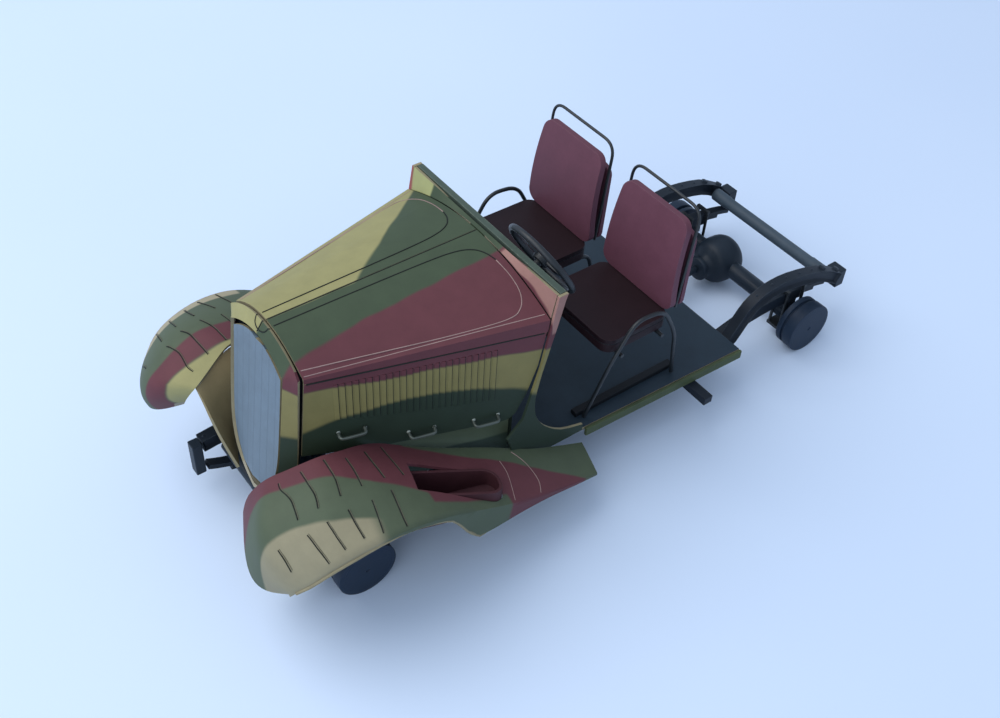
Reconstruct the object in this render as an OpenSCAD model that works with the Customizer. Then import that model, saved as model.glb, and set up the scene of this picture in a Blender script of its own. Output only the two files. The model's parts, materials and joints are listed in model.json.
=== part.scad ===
// Unfinished card and wire model of a light 4x4 army car, about 1:25.
// Lengths are millimetres. The car's nose points along -Y, its left side
// along +X, and it stands on its four hub drums at z = 0.

/* [Wheelbase and drums] */
// Distance between the two axles
wheelbase = 114; // [100:1:130]
// Radius of a hub drum
drum_r = 5.9; // [5:0.1:6.2]
// Distance from the centre plane to a drum's outer face
drum_face_x = 22.9; // [22.3:0.1:24]
// Thickness of the outer disc of a drum
drum_disc_t = 3; // [2.4:0.1:3.2]
// Thickness of the inner flange of a drum
drum_flange_t = 1.1; // [0.9:0.1:1.2]
// Radius of the spindle that a drum turns on
spindle_r = 1.2; // [0.8:0.1:1.6]
// Clearance all round a spindle in its drum
spindle_gap = 0.05; // [0.03:0.01:0.1]

/* [Frame] */
// How far the frame horns reach in front of the front axle
horn_reach = 15; // [13:0.5:16]
// How far the frame reaches behind the rear axle
tail_reach = 13.7; // [12:0.1:16]
// Width of a frame rail
rail_w = 2.6; // [2:0.1:3]
// Height of the straight part of a frame rail
rail_h = 2.8; // [2.6:0.1:3.6]
// Rail centre to the centre plane at the front horn
rail_front_x = 15.2; // [14.6:0.1:15.6]
// Rail centre to the centre plane at the rear tip
rail_rear_x = 18.9; // [17.5:0.1:19.5]
// Radius of the rear cross tube
cross_tube_r = 1.5; // [1.4:0.1:2.2]
// Width of a leaf spring
spring_w = 2; // [1.4:0.1:2]
// Radius of an axle tube
axle_r = 2; // [1.6:0.1:2.1]
// Radius of a differential housing
diff_r = 5.2; // [4:0.1:5.4]
// How far the differentials sit towards the car's right side
diff_offset = 6; // [4:0.5:8]

/* [Floor and seats] */
// Height of the floor's upper face
floor_z = 12; // [11.6:0.1:12.4]
// Half width of the floor at its front edge
floor_front_x = 21.2; // [20:0.1:21.4]
// Half width of the floor at its rear edge
floor_rear_x = 22.8; // [22:0.1:24]
// Thickness of the floor card
floor_t = 0.8; // [0.6:0.1:1]
// Width of a seat cushion
seat_w = 19; // [17:0.5:20]
// Thickness of a seat cushion
cushion_t = 3; // [2:0.1:3.6]
// Height of the cushion's upper face
seat_z = 32.4; // [30:0.1:34]
// Distance from the centre plane to a seat's middle
seat_x = 12; // [11.5:0.1:12.2]
// Height of a seat back above the cushion
back_h = 19.6; // [17:0.1:22]
// Radius of the seat frame wire
wire_r = 0.45; // [0.4:0.05:0.7]

/* [Hood and cowl] */
// Thickness of the body card
card = 0.6; // [0.4:0.1:0.8]
// Half width of the hood at its front edge
hood_front_x = 11.3; // [10.5:0.1:12]
// Half width of the hood at its rear edge
hood_rear_x = 21.9; // [21:0.1:22]
// Height of the belt line where hood top and hood side meet
belt_z = 46.3; // [44:0.1:48]
// Rise of the hood's arch at the front edge
arch_front = 4.4; // [3:0.1:5]
// Rise of the hood's arch at the rear edge
arch_rear = 4.9; // [4:0.1:6]
// Half width of the radiator's face
face_half = 8.8; // [8:0.1:9.4]
// Diameter of the steering wheel
wheel_d = 16.5; // [15:0.5:19]

/* [Fenders] */
// How far a fender's nose lies in front of the front axle
nose_reach = 19.5; // [18.5:0.1:21]
// Width of the spare wheel well
well_w = 6.4; // [5:0.1:6.8]
// Length of the spare wheel well
well_l = 16; // [12:0.5:17]

/* [Hidden] */
$fn = 48;
// Gap between card pieces that are glued edge to edge
seam = 0.12;
// Middle of the model's length, which is its origin
rear_end_y = wheelbase + tail_reach;
middle_y = (rear_end_y - nose_reach) / 2;
drum_inner_x = drum_face_x - drum_disc_t - 0.3 - drum_flange_t;
axle_z = drum_r;

// ---------------------------------------------------------------- helpers
function unit(v) = v / norm(v);

function reversed(list) = [for (k = [len(list) - 1 : -1 : 0]) list[k]];

// Point at share t of the way between p1 and p2 on a smooth curve
function curve_point(p0, p1, p2, p3, t) =
    0.5 * (2 * p1 + (p2 - p0) * t + (2 * p0 - 5 * p1 + 4 * p2 - p3) * t * t
    + (3 * p1 - p0 - 3 * p2 + p3) * t * t * t);

// Smooth curve through points, with n steps from each one to the next
function smooth(points, n) = let (last = len(points) - 1) [
    for (i = [0 : last - 1], k = [0 : n - 1])
        curve_point(points[max(i - 1, 0)], points[i], points[i + 1],
            points[min(i + 2, last)], k / n),
    points[last]];

// Path whose inner corners are rounded over a length b, in n steps
function rounded(points, b, n = 5) = [points[0],
    for (i = [1 : len(points) - 2])
        let (c = points[i], a = c + b * unit(points[i - 1] - c),
            d = c + b * unit(points[i + 1] - c))
        for (k = [0 : n]) let (t = k / n)
            (1 - t) * (1 - t) * a + 2 * t * (1 - t) * c + t * t * d,
    points[len(points) - 1]];

// Outline of a band of height h round a curve in the plane
function band(curve, h) = let (last = len(curve) - 1,
    square = [for (i = [0 : last])
        let (d = unit(curve[min(i + 1, last)] - curve[max(i - 1, 0)])) [-d[1], d[0]]])
    concat([for (i = [0 : last]) curve[i] + h / 2 * square[i]],
        [for (i = [last : -1 : 0]) curve[i] - h / 2 * square[i]]);

// Rectangle or trapezoid with round corners, centred on x, standing on y = 0
function round_panel(w_low, w_top, h, r, n = 6) = let (
    low = w_low / 2 - r, top = w_top / 2 - r,
    corners = [[top, h - r, 0], [-top, h - r, 90], [-low, r, 180], [low, r, 270]])
    [for (c = corners, k = [0 : n]) let (a = c[2] + 90 * k / n)
        [c[0] + r * cos(a), c[1] + r * sin(a)]];

module placed() { translate([0, -middle_y, 0]) children(); }

module right_side() { mirror([1, 0, 0]) children(); }

// An outline of (y, z) points as a plate of width w about the plane at x
module side_plate(x, w) {
    translate([x - w / 2, 0, 0]) rotate([90, 0, 90]) linear_extrude(w) children();
}

// A bar along X from x0 to x1
module cross_bar(x0, x1, y, z, r) {
    translate([x0, y, z]) rotate([0, 90, 0]) cylinder(r = r, h = x1 - x0);
}

function sheet_normal(grid, i, j, closed) = let (
    rows = len(grid) - 1, n = len(grid[0]),
    next = closed ? (j + 1) % n : min(j + 1, n - 1),
    last = closed ? (j + n - 1) % n : max(j - 1, 0),
    along = grid[min(i + 1, rows)][j] - grid[max(i - 1, 0)][j],
    across = grid[i][next] - grid[i][last])
    unit(cross(along, across));

// Card of thickness t whose outer face passes through a grid of points; a closed
// one is a ring, whose rows join end to end
module curved_sheet(grid, t, closed = false) {
    rows = len(grid);
    cols = len(grid[0]);
    n = rows * cols;
    last = closed ? cols - 1 : cols - 2;
    inner = [for (i = [0 : rows - 1]) [for (j = [0 : cols - 1])
        grid[i][j] - t * sheet_normal(grid, i, j, closed)]];
    points = concat([for (row = grid, p = row) p], [for (row = inner, p = row) p]);
    cells = [for (i = [0 : rows - 2], j = [0 : last]) let (c = i * cols, k = (j + 1) % cols)
        [c + j, c + k, c + cols + k, c + cols + j]];
    low = [for (j = [0 : last]) [(j + 1) % cols, j]];
    high = [for (j = [0 : last]) [(rows - 1) * cols + j, (rows - 1) * cols + (j + 1) % cols]];
    sides = concat([for (i = [0 : rows - 2]) [i * cols, (i + 1) * cols]],
        [for (i = [0 : rows - 2]) [(i + 2) * cols - 1, (i + 1) * cols - 1]]);
    rim = concat(low, high, closed ? [] : sides);
    polyhedron(points, concat(
        [for (c = cells) [c[0], c[2], c[3]]],
        [for (c = cells) [c[0], c[1], c[2]]],
        [for (c = cells) [n + c[0], n + c[3], n + c[2]]],
        [for (c = cells) [n + c[0], n + c[2], n + c[1]]],
        [for (e = rim) [e[0], e[1], n + e[1]]],
        [for (e = rim) [e[0], n + e[1], n + e[0]]]), convexity = 6);
}

// Round wire along a flat path; side is the direction square to its plane
module wire(path, r, side, sides = 10) {
    last = len(path) - 1;
    rings = [for (i = [0 : last])
        let (up = cross(unit(path[min(i + 1, last)] - path[max(i - 1, 0)]), side))
        for (k = [0 : sides - 1]) let (a = 360 * k / sides)
            path[i] + r * (cos(a) * side + sin(a) * up)];
    polyhedron(rings, concat(
        [for (i = [0 : last - 1], k = [0 : sides - 1])
            [i * sides + k, (i + 1) * sides + (k + 1) % sides, i * sides + (k + 1) % sides]],
        [for (i = [0 : last - 1], k = [0 : sides - 1])
            [i * sides + k, (i + 1) * sides + k, (i + 1) * sides + (k + 1) % sides]],
        [[for (k = [0 : sides - 1]) k]],
        [[for (k = [sides - 1 : -1 : 0]) last * sides + k]]), convexity = 6);
}

// ------------------------------------------------------------------ frame
rail_mid_z = floor_z - floor_t - seam - rail_h / 2;
rail_start_y = -horn_reach + 2.2;
rail_front_z = axle_z + 6.4;
rail_end_y = rear_end_y - 3.5;
rail_splay = atan((rail_rear_x - rail_front_x) / (rear_end_y + horn_reach));
// Side view of a rail's middle line: horn, straight run and kick over the rear axle
rail_line = concat(
    smooth([[rail_start_y, rail_front_z - 0.1], [-8, rail_front_z + 0.2], [0, rail_front_z],
        [9, rail_front_z - 1.1], [17, rail_mid_z + 0.3],
        [22, rail_mid_z]], 3),
    smooth([[wheelbase - 27, rail_mid_z], [wheelbase - 22, rail_mid_z],
        [wheelbase - 19.4, 12.9], [wheelbase - 16.6, 17], [wheelbase - 12.3, 19.2],
        [wheelbase - 6, 19.4], [wheelbase + 3.5, 17.2], [rail_end_y, 13.6]], 3));

function rail_x(y) = rail_front_x + (y + horn_reach) * tan(rail_splay);

module frame_rail() {
    color("#232a31") placed() translate([rail_front_x, -horn_reach, 0])
        rotate([0, 0, -rail_splay]) translate([0, horn_reach, 0])
        side_plate(0, rail_w) polygon(band(rail_line, rail_h));
}

module frame_rail_left() { frame_rail(); }

module frame_rail_right() { right_side() frame_rail(); }

module front_crossmember() {
    reach = rail_x(-8.3) - rail_w / 2 - 2 * seam;
    color("#232a31") placed() cross_bar(-reach, reach, -8.3, 10.5, 1.2);
}

module frame_crossbars() {
    color("#232a31") placed() for (y = [22, 56, wheelbase - 28]) {
        reach = rail_x(y) - rail_w / 2 - 2 * seam;
        translate([-reach, y - 1.5, rail_mid_z - 1]) cube([2 * reach, 3, 2]);
    }
}

tube_y = rear_end_y - 5.8;

module rear_cross_tube() {
    reach = rail_x(tube_y) - rail_w / 2 - 2 * seam;
    color("#3c4753") placed() cross_bar(-reach, reach, tube_y, 14.4, cross_tube_r);
}

outrigger_y = wheelbase - 36.5;
outrigger_reach = 28.3;

module outrigger_bars() {
    start = rail_x(outrigger_y) + rail_w / 2 + 2 * seam;
    color("#2a333c") placed() for (side = [0, 1]) mirror([side, 0, 0])
        translate([start, outrigger_y - 1.1, rail_mid_z - 1.6])
        cube([outrigger_reach - start, 2.2, 1.8]);
}

// ---------------------------------------------------------------- springs
front_spring_x = 14.8;
rear_spring_x = 15.5;
leaf_t = 1;
front_leaf_z = axle_z - axle_r - leaf_t / 2 - 0.2;
rear_leaf_z = 12.2;
front_eye = [13, 6.4];
rear_eye = [16.2, 9.8];

// One leaf: reach each way from the axle at y, height at its middle and ends
module leaf(y, reach, z_mid, z_end) {
    polygon(band([for (k = [-8 : 8]) let (t = k / 8)
        [y + reach * t, z_mid + (z_end - z_mid) * t * t]], leaf_t));
}

module front_spring() {
    color("#20262c") placed() side_plate(front_spring_x, spring_w) {
        leaf(0, front_eye[0] - 0.6, front_leaf_z, front_eye[1]);
        leaf(0, 8, front_leaf_z - leaf_t + 0.05, front_leaf_z + 0.2);
    }
}

module front_spring_left() { front_spring(); }

module front_spring_right() { right_side() front_spring(); }

module rear_spring() {
    mid_y = wheelbase - 5.5;
    color("#20262c") placed() side_plate(rear_spring_x, spring_w) {
        leaf(mid_y, rear_eye[0], rear_leaf_z, rear_eye[1]);
        leaf(mid_y, 12.5, rear_leaf_z - 0.95, rear_leaf_z - 2.3);
        leaf(mid_y, 8.5, rear_leaf_z - 1.9, rear_leaf_z - 2.5);
    }
}

module rear_spring_left() { rear_spring(); }

module rear_spring_right() { right_side() rear_spring(); }

// Hangers that carry the springs' ends under the frame's tips
module spring_shackles() {
    color("#2a323a") placed() for (side = [0, 1]) mirror([side, 0, 0]) {
        translate([front_spring_x - 1.2, -horn_reach, 5.6]) cube([2.6, 2, 7.8]);
        translate([rear_spring_x - 1, rear_end_y - 2.6, 9])
            cube([rail_x(rear_end_y) + rail_w / 2 - rear_spring_x + 1, 2.6, 5.8]);
    }
}

bolt_r = 0.35;
bolt_y = axle_r + bolt_r + 0.2;

// Two staples round an axle tube and its spring, with the plate under them
module bolt_pair(x, y, z_low, z_top) {
    half = spring_w / 2 + bolt_r + 0.1;
    for (dy = [-bolt_y, bolt_y]) {
        for (dx = [-half, half])
            translate([x + dx, y + dy, z_low]) cylinder(r = bolt_r, h = z_top - z_low);
        translate([x - half - bolt_r - 0.05, y + dy - bolt_r - 0.05, z_top - bolt_r])
            cube([2 * (half + bolt_r) + 0.1, 2 * bolt_r + 0.1, 2 * bolt_r]);
    }
    translate([x - half - bolt_r - 0.05, y - bolt_y - bolt_r - 0.05, z_low - 0.6])
        cube([2 * (half + bolt_r) + 0.1, 2 * (bolt_y + bolt_r) + 0.1, 0.7]);
}

module spring_bolts() {
    color("#20262c") placed() for (side = [0, 1]) mirror([side, 0, 0]) {
        bolt_pair(front_spring_x, 0, 1.4, axle_z + axle_r + bolt_r + 0.1);
        bolt_pair(rear_spring_x, wheelbase, 3, rear_leaf_z + leaf_t / 2 + bolt_r + 0.1);
    }
}

// ------------------------------------------------------------------ axles
knuckle_x = 17.5;
pin_r = 0.8;
pin_half = 3;
fork_t = 0.6;
spindle_end_x = drum_face_x - 1;

diff_depth = 4;

module axle(y, half, pinion) {
    translate([0, y, axle_z]) {
        cross_bar(-half, half, 0, 0, axle_r);
        translate([-diff_offset, 0, 0]) rotate([90 * pinion, 0, 0]) {
            translate([0, 0, -diff_depth / 2]) cylinder(r = diff_r, h = diff_depth);
            translate([0, 0, -diff_depth]) cylinder(r = diff_r - 1.3, h = 2 * diff_depth);
            cylinder(r = 2.4, h = diff_r + 2);
        }
    }
}

// Front axle, with a fork at each end that holds a knuckle's upright pin
module front_axle() {
    fork_x = knuckle_x - pin_r - seam - fork_t;
    color("#262e36") placed() {
        axle(0, knuckle_x - pin_r - seam, -1);
        translate([0, 0, axle_z]) for (side = [0, 1]) mirror([side, 0, 0]) {
            translate([fork_x, -1, -pin_half - seam - fork_t])
                cube([fork_t, 2, 2 * (pin_half + seam + fork_t)]);
            for (z = [-pin_half - seam - fork_t, pin_half + seam])
                translate([fork_x, -1, z]) cube([knuckle_x + pin_r / 2 - fork_x, 2, fork_t]);
        }
    }
}

// Steering knuckle: an upright pin, a collar beside it and the spindle
module front_knuckle() {
    color("#2c353e") placed() translate([0, 0, axle_z]) {
        translate([knuckle_x, 0, -pin_half]) cylinder(r = pin_r, h = 2 * pin_half);
        cross_bar(knuckle_x, drum_inner_x - 0.15, 0, 0, axle_r);
        cross_bar(knuckle_x, spindle_end_x, 0, 0, spindle_r);
    }
}

module front_knuckle_left() { front_knuckle(); }

module front_knuckle_right() { right_side() front_knuckle(); }

module rear_axle() {
    pad_z = axle_z + axle_r - 0.4;
    pad_top = rear_leaf_z - 1.9 - leaf_t / 2 - 0.45;
    color("#262e36") placed() {
        axle(wheelbase, drum_inner_x - 0.15, 1);
        cross_bar(-spindle_end_x, spindle_end_x, wheelbase, axle_z, spindle_r);
        for (side = [0, 1]) mirror([side, 0, 0])
            translate([rear_spring_x - 0.9, wheelbase - 1.7, pad_z])
            cube([1.8, 3.4, pad_top - pad_z]);
    }
}

// A drum: outer disc, groove and inner flange, bored for its spindle
module hub_drum(y) {
    color("#37424e") placed() translate([0, y, axle_z]) difference() {
        union() {
            cross_bar(drum_face_x - drum_disc_t, drum_face_x, 0, 0, drum_r);
            cross_bar(drum_inner_x, drum_face_x - 0.5, 0, 0, drum_r - 0.6);
            cross_bar(drum_inner_x, drum_inner_x + drum_flange_t, 0, 0, drum_r - 0.1);
        }
        cross_bar(drum_inner_x - 1, spindle_end_x + 0.2, 0, 0, spindle_r + spindle_gap);
    }
}

module hub_drum_front_left() { hub_drum(0); }

module hub_drum_front_right() { right_side() hub_drum(0); }

module hub_drum_rear_left() { hub_drum(wheelbase); }

module hub_drum_rear_right() { right_side() hub_drum(wheelbase); }

case_y = 46;
case_z = 6.8;
shaft_r = 0.9;

module transfer_case() {
    color("#232a31") placed() {
        translate([-diff_offset - 3.4, case_y - 5, case_z - 3.2]) cube([6.8, 10, 7.2]);
        translate([-diff_offset - 2, case_y - 9, case_z - 1.2]) cube([9, 7, 5]);
    }
}

// A shaft between two (y, z) points
module shaft(a, b) {
    translate([-diff_offset, a[0], a[1]])
        rotate([-90 + atan((b[1] - a[1]) / (b[0] - a[0])), 0, 0])
        cylinder(r = shaft_r, h = norm(b - a));
}

module front_propeller_shaft() {
    color("#232a31") placed()
        shaft([diff_r + 2.2, axle_z], [case_y - 9.2, case_z]);
}

module rear_propeller_shaft() {
    color("#232a31") placed()
        shaft([case_y + 5.2, case_z], [wheelbase - diff_r - 2.2, axle_z]);
}

// --------------------------------------------------------- hood and cowl
hood_front_y = -3.4;
hood_rear_y = 38.1;
hood_rake = 0.08;
hood_angle = atan((hood_rear_x - hood_front_x) / (hood_rear_y - hood_front_y));
hood_side_l = (hood_rear_y - hood_front_y) / cos(hood_angle);
flange_front = 1;
flange_rear = 2.6;
arch_power = 2;
frame_top_z = belt_z + arch_rear - 0.1;
cowl_half = hood_rear_x + 0.4;

function hood_half(y) = hood_front_x
    + (hood_rear_x - hood_front_x) * (y - hood_front_y) / (hood_rear_y - hood_front_y);

// One side of an arch across the car, from near its middle to its belt
function arch(y, half, rise, start, n = 10) = [for (k = [0 : n])
    let (u = start + (1 - start) * k / n)
    [u * half, y, belt_z + rise * (1 - pow(u, arch_power))]];

module hood_top() {
    front = concat(arch(hood_front_y, hood_front_x, arch_front, 0.1 / hood_front_x),
        [[hood_front_x, hood_front_y, belt_z - flange_front]]);
    rear = concat(arch(hood_rear_y, hood_rear_x, arch_rear, 0.1 / hood_rear_x),
        [[hood_rear_x, hood_rear_y - 0.3, belt_z - flange_rear]]);
    color("#7c3a44") placed() curved_sheet([reversed(front), reversed(rear)], card);
}

module hood_top_left() { hood_top(); }

module hood_top_right() { right_side() hood_top(); }

// Height of the hood side's lower edge at its front and rear ends
hood_low_front = 28.4;
hood_low_rear = 23.8;
hood_corner_r = 3;

module hood_side() {
    l = hood_side_l;
    rear_low = l - 4.6;
    color("#6b6a3c") placed() translate([hood_front_x, hood_front_y, 0])
        rotate([90, 0, 90 - hood_angle]) translate([0, 0, -card]) linear_extrude(card)
        polygon(concat([
            [0, belt_z - flange_front - seam], [-1.5, hood_low_front]],
            [[13, 25.8]],
            [for (k = [0 : 6]) let (a = 270 + 80 * k / 6)
                [rear_low - hood_corner_r + hood_corner_r * cos(a),
                hood_low_rear + hood_corner_r + hood_corner_r * sin(a)]],
            [[l - 3.3, 29.4], [l - 1.5, 36], [l - 0.4, belt_z - flange_rear - seam]]));
}

module hood_side_left() { hood_side(); }

module hood_side_right() { right_side() hood_side(); }

handle_w = 4.6;
handle_r = 0.3;
handle_places = [[5, 32], [17.5, 27.4], [29.5, 26]];

module hood_handles() {
    color("#8f948a") placed() for (side = [0, 1], place = handle_places)
        mirror([side, 0, 0]) translate([hood_front_x, hood_front_y, 0])
        rotate([0, 0, 90 - hood_angle]) translate([place[0], -0.1, place[1]])
        wire(rounded([[0, 0, 0], [0, -1.3, -0.3], [handle_w, -1.3, -0.3],
            [handle_w, 0, 0]], 0.7, 4), handle_r, unit([0, -0.3, 1.3]), 8);
}

// Front face of the radiator: its bottom tip lies further forward than its top
face_top_y = -5.6;
face_belt_z = belt_z - 0.7;
face_rise = 3.1;
face_rake = 0.12;
face_crease = 0.6;

function face_y(z) = face_top_y - face_rake * (face_belt_z - z);

// Right half outline of the radiator, from its bottom tip up to its top middle
face_outline = concat([[0, 12.8], [4.6, 15.2], [7.4, 19.2], [face_half - 0.2, 24],
    [face_half, 30], [face_half, 38], [face_half, face_belt_z]],
    [for (k = [7 : -1 : 0]) let (u = k / 8)
        [face_half * u, face_belt_z + face_rise * (1 - u * u)]]);
shell_outline = concat([[0, 12], [6.2, 13.8], [9.6, 18.4], [10.9, 24],
    [hood_front_x, 30], [hood_front_x, 38], [hood_front_x, belt_z]],
    [for (k = [7 : -1 : 0]) let (u = k / 8)
        [hood_front_x * u, belt_z + arch_front * (1 - pow(u, arch_power))]]);

// Both halves of an outline as one closed ring without its doubled ends
function whole(outline) = concat(outline,
    [for (k = [len(outline) - 2 : -1 : 1]) [-outline[k][0], outline[k][1]]]);

// The gap to the hood: wide at the sides, narrow over the top
function shell_rear_y(p) = hood_front_y - hood_rake * max(0, belt_z - p[1])
    - (p[1] > belt_z + 0.5 ? 0.7 : 1);

module radiator_shell() {
    front = [for (p = whole(face_outline)) [p[0], face_y(p[1]) - 0.2, p[1]]];
    rear = [for (p = whole(shell_outline)) [p[0], shell_rear_y(p), p[1]]];
    color("#7b7d4a") placed() curved_sheet([front, rear], card, true);
}

module radiator_face() {
    grow = (face_half - card - 0.25) / face_half;
    color("#8fa3b5") placed() curved_sheet([for (p = face_outline)
        if (p[0] > 1.5) let (w = p[0] * grow, z = 30 + (p[1] - 30) * grow)
        [for (u = [1, 0.5, 0, -0.5, -1])
            [u * w, face_y(z) - face_crease * (1 - abs(u)) * (1 - (z - 12) / 50), z]]], card);
}

core_half = hood_front_x - card - 0.5;

module radiator_core() {
    color("#1c2228") placed() translate([0, hood_front_y - 0.1, belt_z])
        rotate([-atan(hood_rake), 0, 0]) rotate([90, 0, 0]) linear_extrude(0.8)
        polygon([[5.7 - core_half, -31], [core_half - 5.7, -31], [core_half - 2, -27],
            [core_half, -21], [core_half, -0.8], [5, 2], [-5, 2], [-core_half, -0.8],
            [-core_half, -21], [2 - core_half, -27]]);
}

cowl_front_y = hood_rear_y + 0.3;
frame_front_y = 39.3;

module cowl_top() {
    side = arch(cowl_front_y, cowl_half - card - seam, arch_rear, 0);
    front = concat([for (p = reversed(side)) if (p[0] > 0) [-p[0], p[1], p[2]]], side);
    rear = [for (p = front) [p[0], frame_front_y, frame_top_z]];
    color("#d08a84") placed() curved_sheet([reversed(front), reversed(rear)], card);
}

// Side of the cowl: hood seam, lean of the door opening, low sill at the rear
module cowl_side() {
    color("#9a7a5a") placed() side_plate(cowl_half - card / 2, card) polygon(concat(
        [[hood_rear_y + 0.3, belt_z - 0.2], [hood_rear_y - 1.3, 36], [hood_rear_y - 3.1, 29],
            [hood_rear_y - 4.4, 24.4], [hood_rear_y - 4.5, 21], [hood_rear_y - 3.4, 18],
            [hood_rear_y - 3.4, floor_z + 0.3],
            [48.9, floor_z + 0.3], [48.9, floor_z + 1.9]],
        smooth([[48.9, floor_z + 2], [43.4, 15.9], [39.2, 19.4], [36.8, 23.4],
            [36.2, 28.3], [37.2, 34.5], [38.7, 40.5], [40.9, 50]], 3),
        [[frame_front_y + 2, frame_top_z], [frame_front_y, frame_top_z]]));
}

module cowl_side_left() { cowl_side(); }

module cowl_side_right() { right_side() cowl_side(); }

// Flat frame round the cowl's rear edge, with the dash board under it
column_r = 0.8;
wheel_tilt = 60;
wheel_x = 10.5;
wheel_y = frame_front_y + 5.6;
wheel_z = frame_top_z - 2.4;

module along_column() {
    translate([wheel_x, wheel_y, wheel_z]) rotate([-wheel_tilt, 0, 0]) children();
}

module cowl_frame() {
    half = cowl_half - card - seam;
    color("#5a655c") placed() difference() {
        translate([0, frame_front_y, frame_top_z]) side_plate(0, 2 * half)
            polygon([[card + 0.15, 0], [2, 0], [1.8, -1.2], [1.4, -1.2], [0.2, -10.1],
                [-0.5, -10.1], [card + 0.1, -1.2]]);
        along_column() translate([0, 0, -12]) cylinder(r = column_r + 0.05, h = 24);
    }
}

bulkhead_y = 33;

module bulkhead() {
    half = hood_half(bulkhead_y) - card - 0.9;
    color("#2b3640") placed() translate([-half, bulkhead_y, floor_z + 0.2])
        cube([2 * half, 0.8, belt_z - flange_rear - floor_z]);
}

// --------------------------------------------------------------- steering
hub_h = 1.6;
rim_r = 0.65;
column_back = (wheel_y - bulkhead_y - 0.8 - seam) / sin(wheel_tilt);

module steering_column() {
    color("#20262c") placed() along_column() translate([0, 0, -column_back + column_r])
        cylinder(r = column_r, h = column_back - column_r + hub_h / 2);
}

module steering_wheel() {
    ring_r = wheel_d / 2 - rim_r;
    color("#20262c") placed() along_column() difference() {
        union() {
            rotate_extrude() translate([ring_r, 0]) circle(rim_r, $fn = 24);
            for (a = [90, 210, 330]) rotate([0, 90, a]) cylinder(r = 0.45, h = ring_r);
            translate([0, 0, -hub_h / 2]) cylinder(r = 1.7, h = hub_h);
        }
        translate([0, 0, -hub_h]) cylinder(r = column_r + 0.05, h = 2 * hub_h);
    }
}

// ---------------------------------------------------------------- fenders
// Each station: inner edge, outer top edge, skirt's lower edge, crown offset
fender_stations = [
    [[17.5, -13.6, 21.4], [27, -17.2, 17.8], [27, -17.1, 17], [0.2, -2.6, -1.4]],
    [[14.4, -13.9, 25.8], [27.6, -17.5, 19], [27.8, -17.3, 18.1], [0, -3.4, 0.2]],
    [[12.6, -12.6, 29.3], [28.8, -17.1, 21], [29.1, -16.8, 20.2], [0, -3.4, 2]],
    [[13.6, -10, 30.4], [30.4, -15.4, 23.1], [30.7, -15, 22.4], [0, -2.4, 2.6]],
    [[15, -6.6, 31.9], [32, -12.2, 26], [32.2, -11.9, 25.2], [0, -1.7, 2.6]],
    [[16, -3.6, 32.8], [33, -8.6, 27.7], [33.1, -8.4, 26.9], [0, -1, 2.3]],
    [[15.9, 0, 31.6], [33.7, -3.4, 28.8], [33.8, -3.3, 28], [0, -0.4, 2]],
    [[14.8, 4, 29.4], [34, 2, 28.6], [34, 2, 27.8], [0, 0, 1.7]],
    [[14.6, 8, 27.2], [34, 6.6, 27.3], [34, 6.4, 26.4], [0, 0, 1.4]],
    [[16.2, 12.6, 25], [33.5, 11.2, 25], [33.4, 10.6, 23.6], [0, 0, 1.1]],
    [[17.5, 17, 23], [33, 15.4, 22.4], [32.6, 13.8, 18.4], [0, 0, 0.9]],
    [[18.6, 21, 21.4], [32.7, 19.2, 20.2], [32.1, 17.6, 12.9], [0, 0, 0.8]],
    [[20.6, 28, 19], [32.3, 26.4, 16.6], [31.9, 25.8, 12.7], [0, 0, 0.6]],
    [[22.7, 35, 16], [32, 33.6, 13.9], [31.7, 33.4, 12.2], [0, 0, 0.5]],
    [[22.9, 42, 12.6], [31.5, 40, 11.6], [31.4, 39.8, 10.8], [0, 0, 0.4]],
    [[23, 48.6, 9.6], [30.8, 46, 9.8], [30.8, 46, 9.2], [0, 0, 0.1]]];
// The left nose is bent lower and further inwards than the right one
left_nose = [
    [[9.4, -16, 19.8], [27, -17.2, 17.8], [27, -17.1, 17], [-1.2, -2.7, -6.6]],
    [[10.6, -15.2, 25], [27.6, -17.5, 19], [27.8, -17.3, 18.1], [0.9, -2.9, -1.2]]];
fender_cols = 8;

// Row of points across a fender at one station
function fender_row(s) = concat(
    [for (k = [0 : fender_cols]) let (u = k / fender_cols)
        mix(s[0], s[1], u) + s[3] * sin(180 * u)],
    [mix(s[1], s[2], 0.5), s[2]]);

function mix(a, b, t) = a + (b - a) * t;

well_angle = 17;
well_mid = [26.8, 16.2];
well_low_z = 17.6;
well_slope = 17;

// Plan outline of the spare wheel well, square in front and round behind
module well_outline(grow) {
    w = well_w / 2 + grow;
    l = well_l / 2 + grow;
    r = w - 0.4;
    translate(well_mid) rotate(-well_angle) polygon(concat(
        [[-w, -l], [w, -l]],
        [for (k = [0 : 8]) let (a = 90 * k / 8) [w - r + r * cos(a), l - r + r * sin(a)]],
        [for (k = [0 : 8]) let (a = 90 + 90 * k / 8) [r - w + r * cos(a), l - r + r * sin(a)]]));
}

module front_fender(stations) {
    grid = [for (s = smooth(stations, 2)) fender_row(s)];
    color("#6f7350") placed() difference() {
        curved_sheet([for (row = grid) reversed(row)], card);
        translate([0, 0, 10]) linear_extrude(30) well_outline(seam);
    }
}

module front_fender_left() {
    front_fender(concat(left_nose,
        [for (i = [2 : len(fender_stations) - 1]) fender_stations[i]]));
}

module front_fender_right() { right_side() front_fender(fender_stations); }

module spare_wheel_well() {
    color("#5b3038") placed() intersection() {
        difference() {
            translate([0, 0, well_low_z - card]) linear_extrude(14) well_outline(0);
            translate([0, 0, well_low_z]) linear_extrude(20) well_outline(-card);
        }
        translate([well_mid[0], well_mid[1], 23.4]) rotate([-well_slope, 0, 0])
            translate([-15, -15, -20]) cube([30, 30, 20]);
    }
}

module spare_wheel_well_left() { spare_wheel_well(); }

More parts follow.
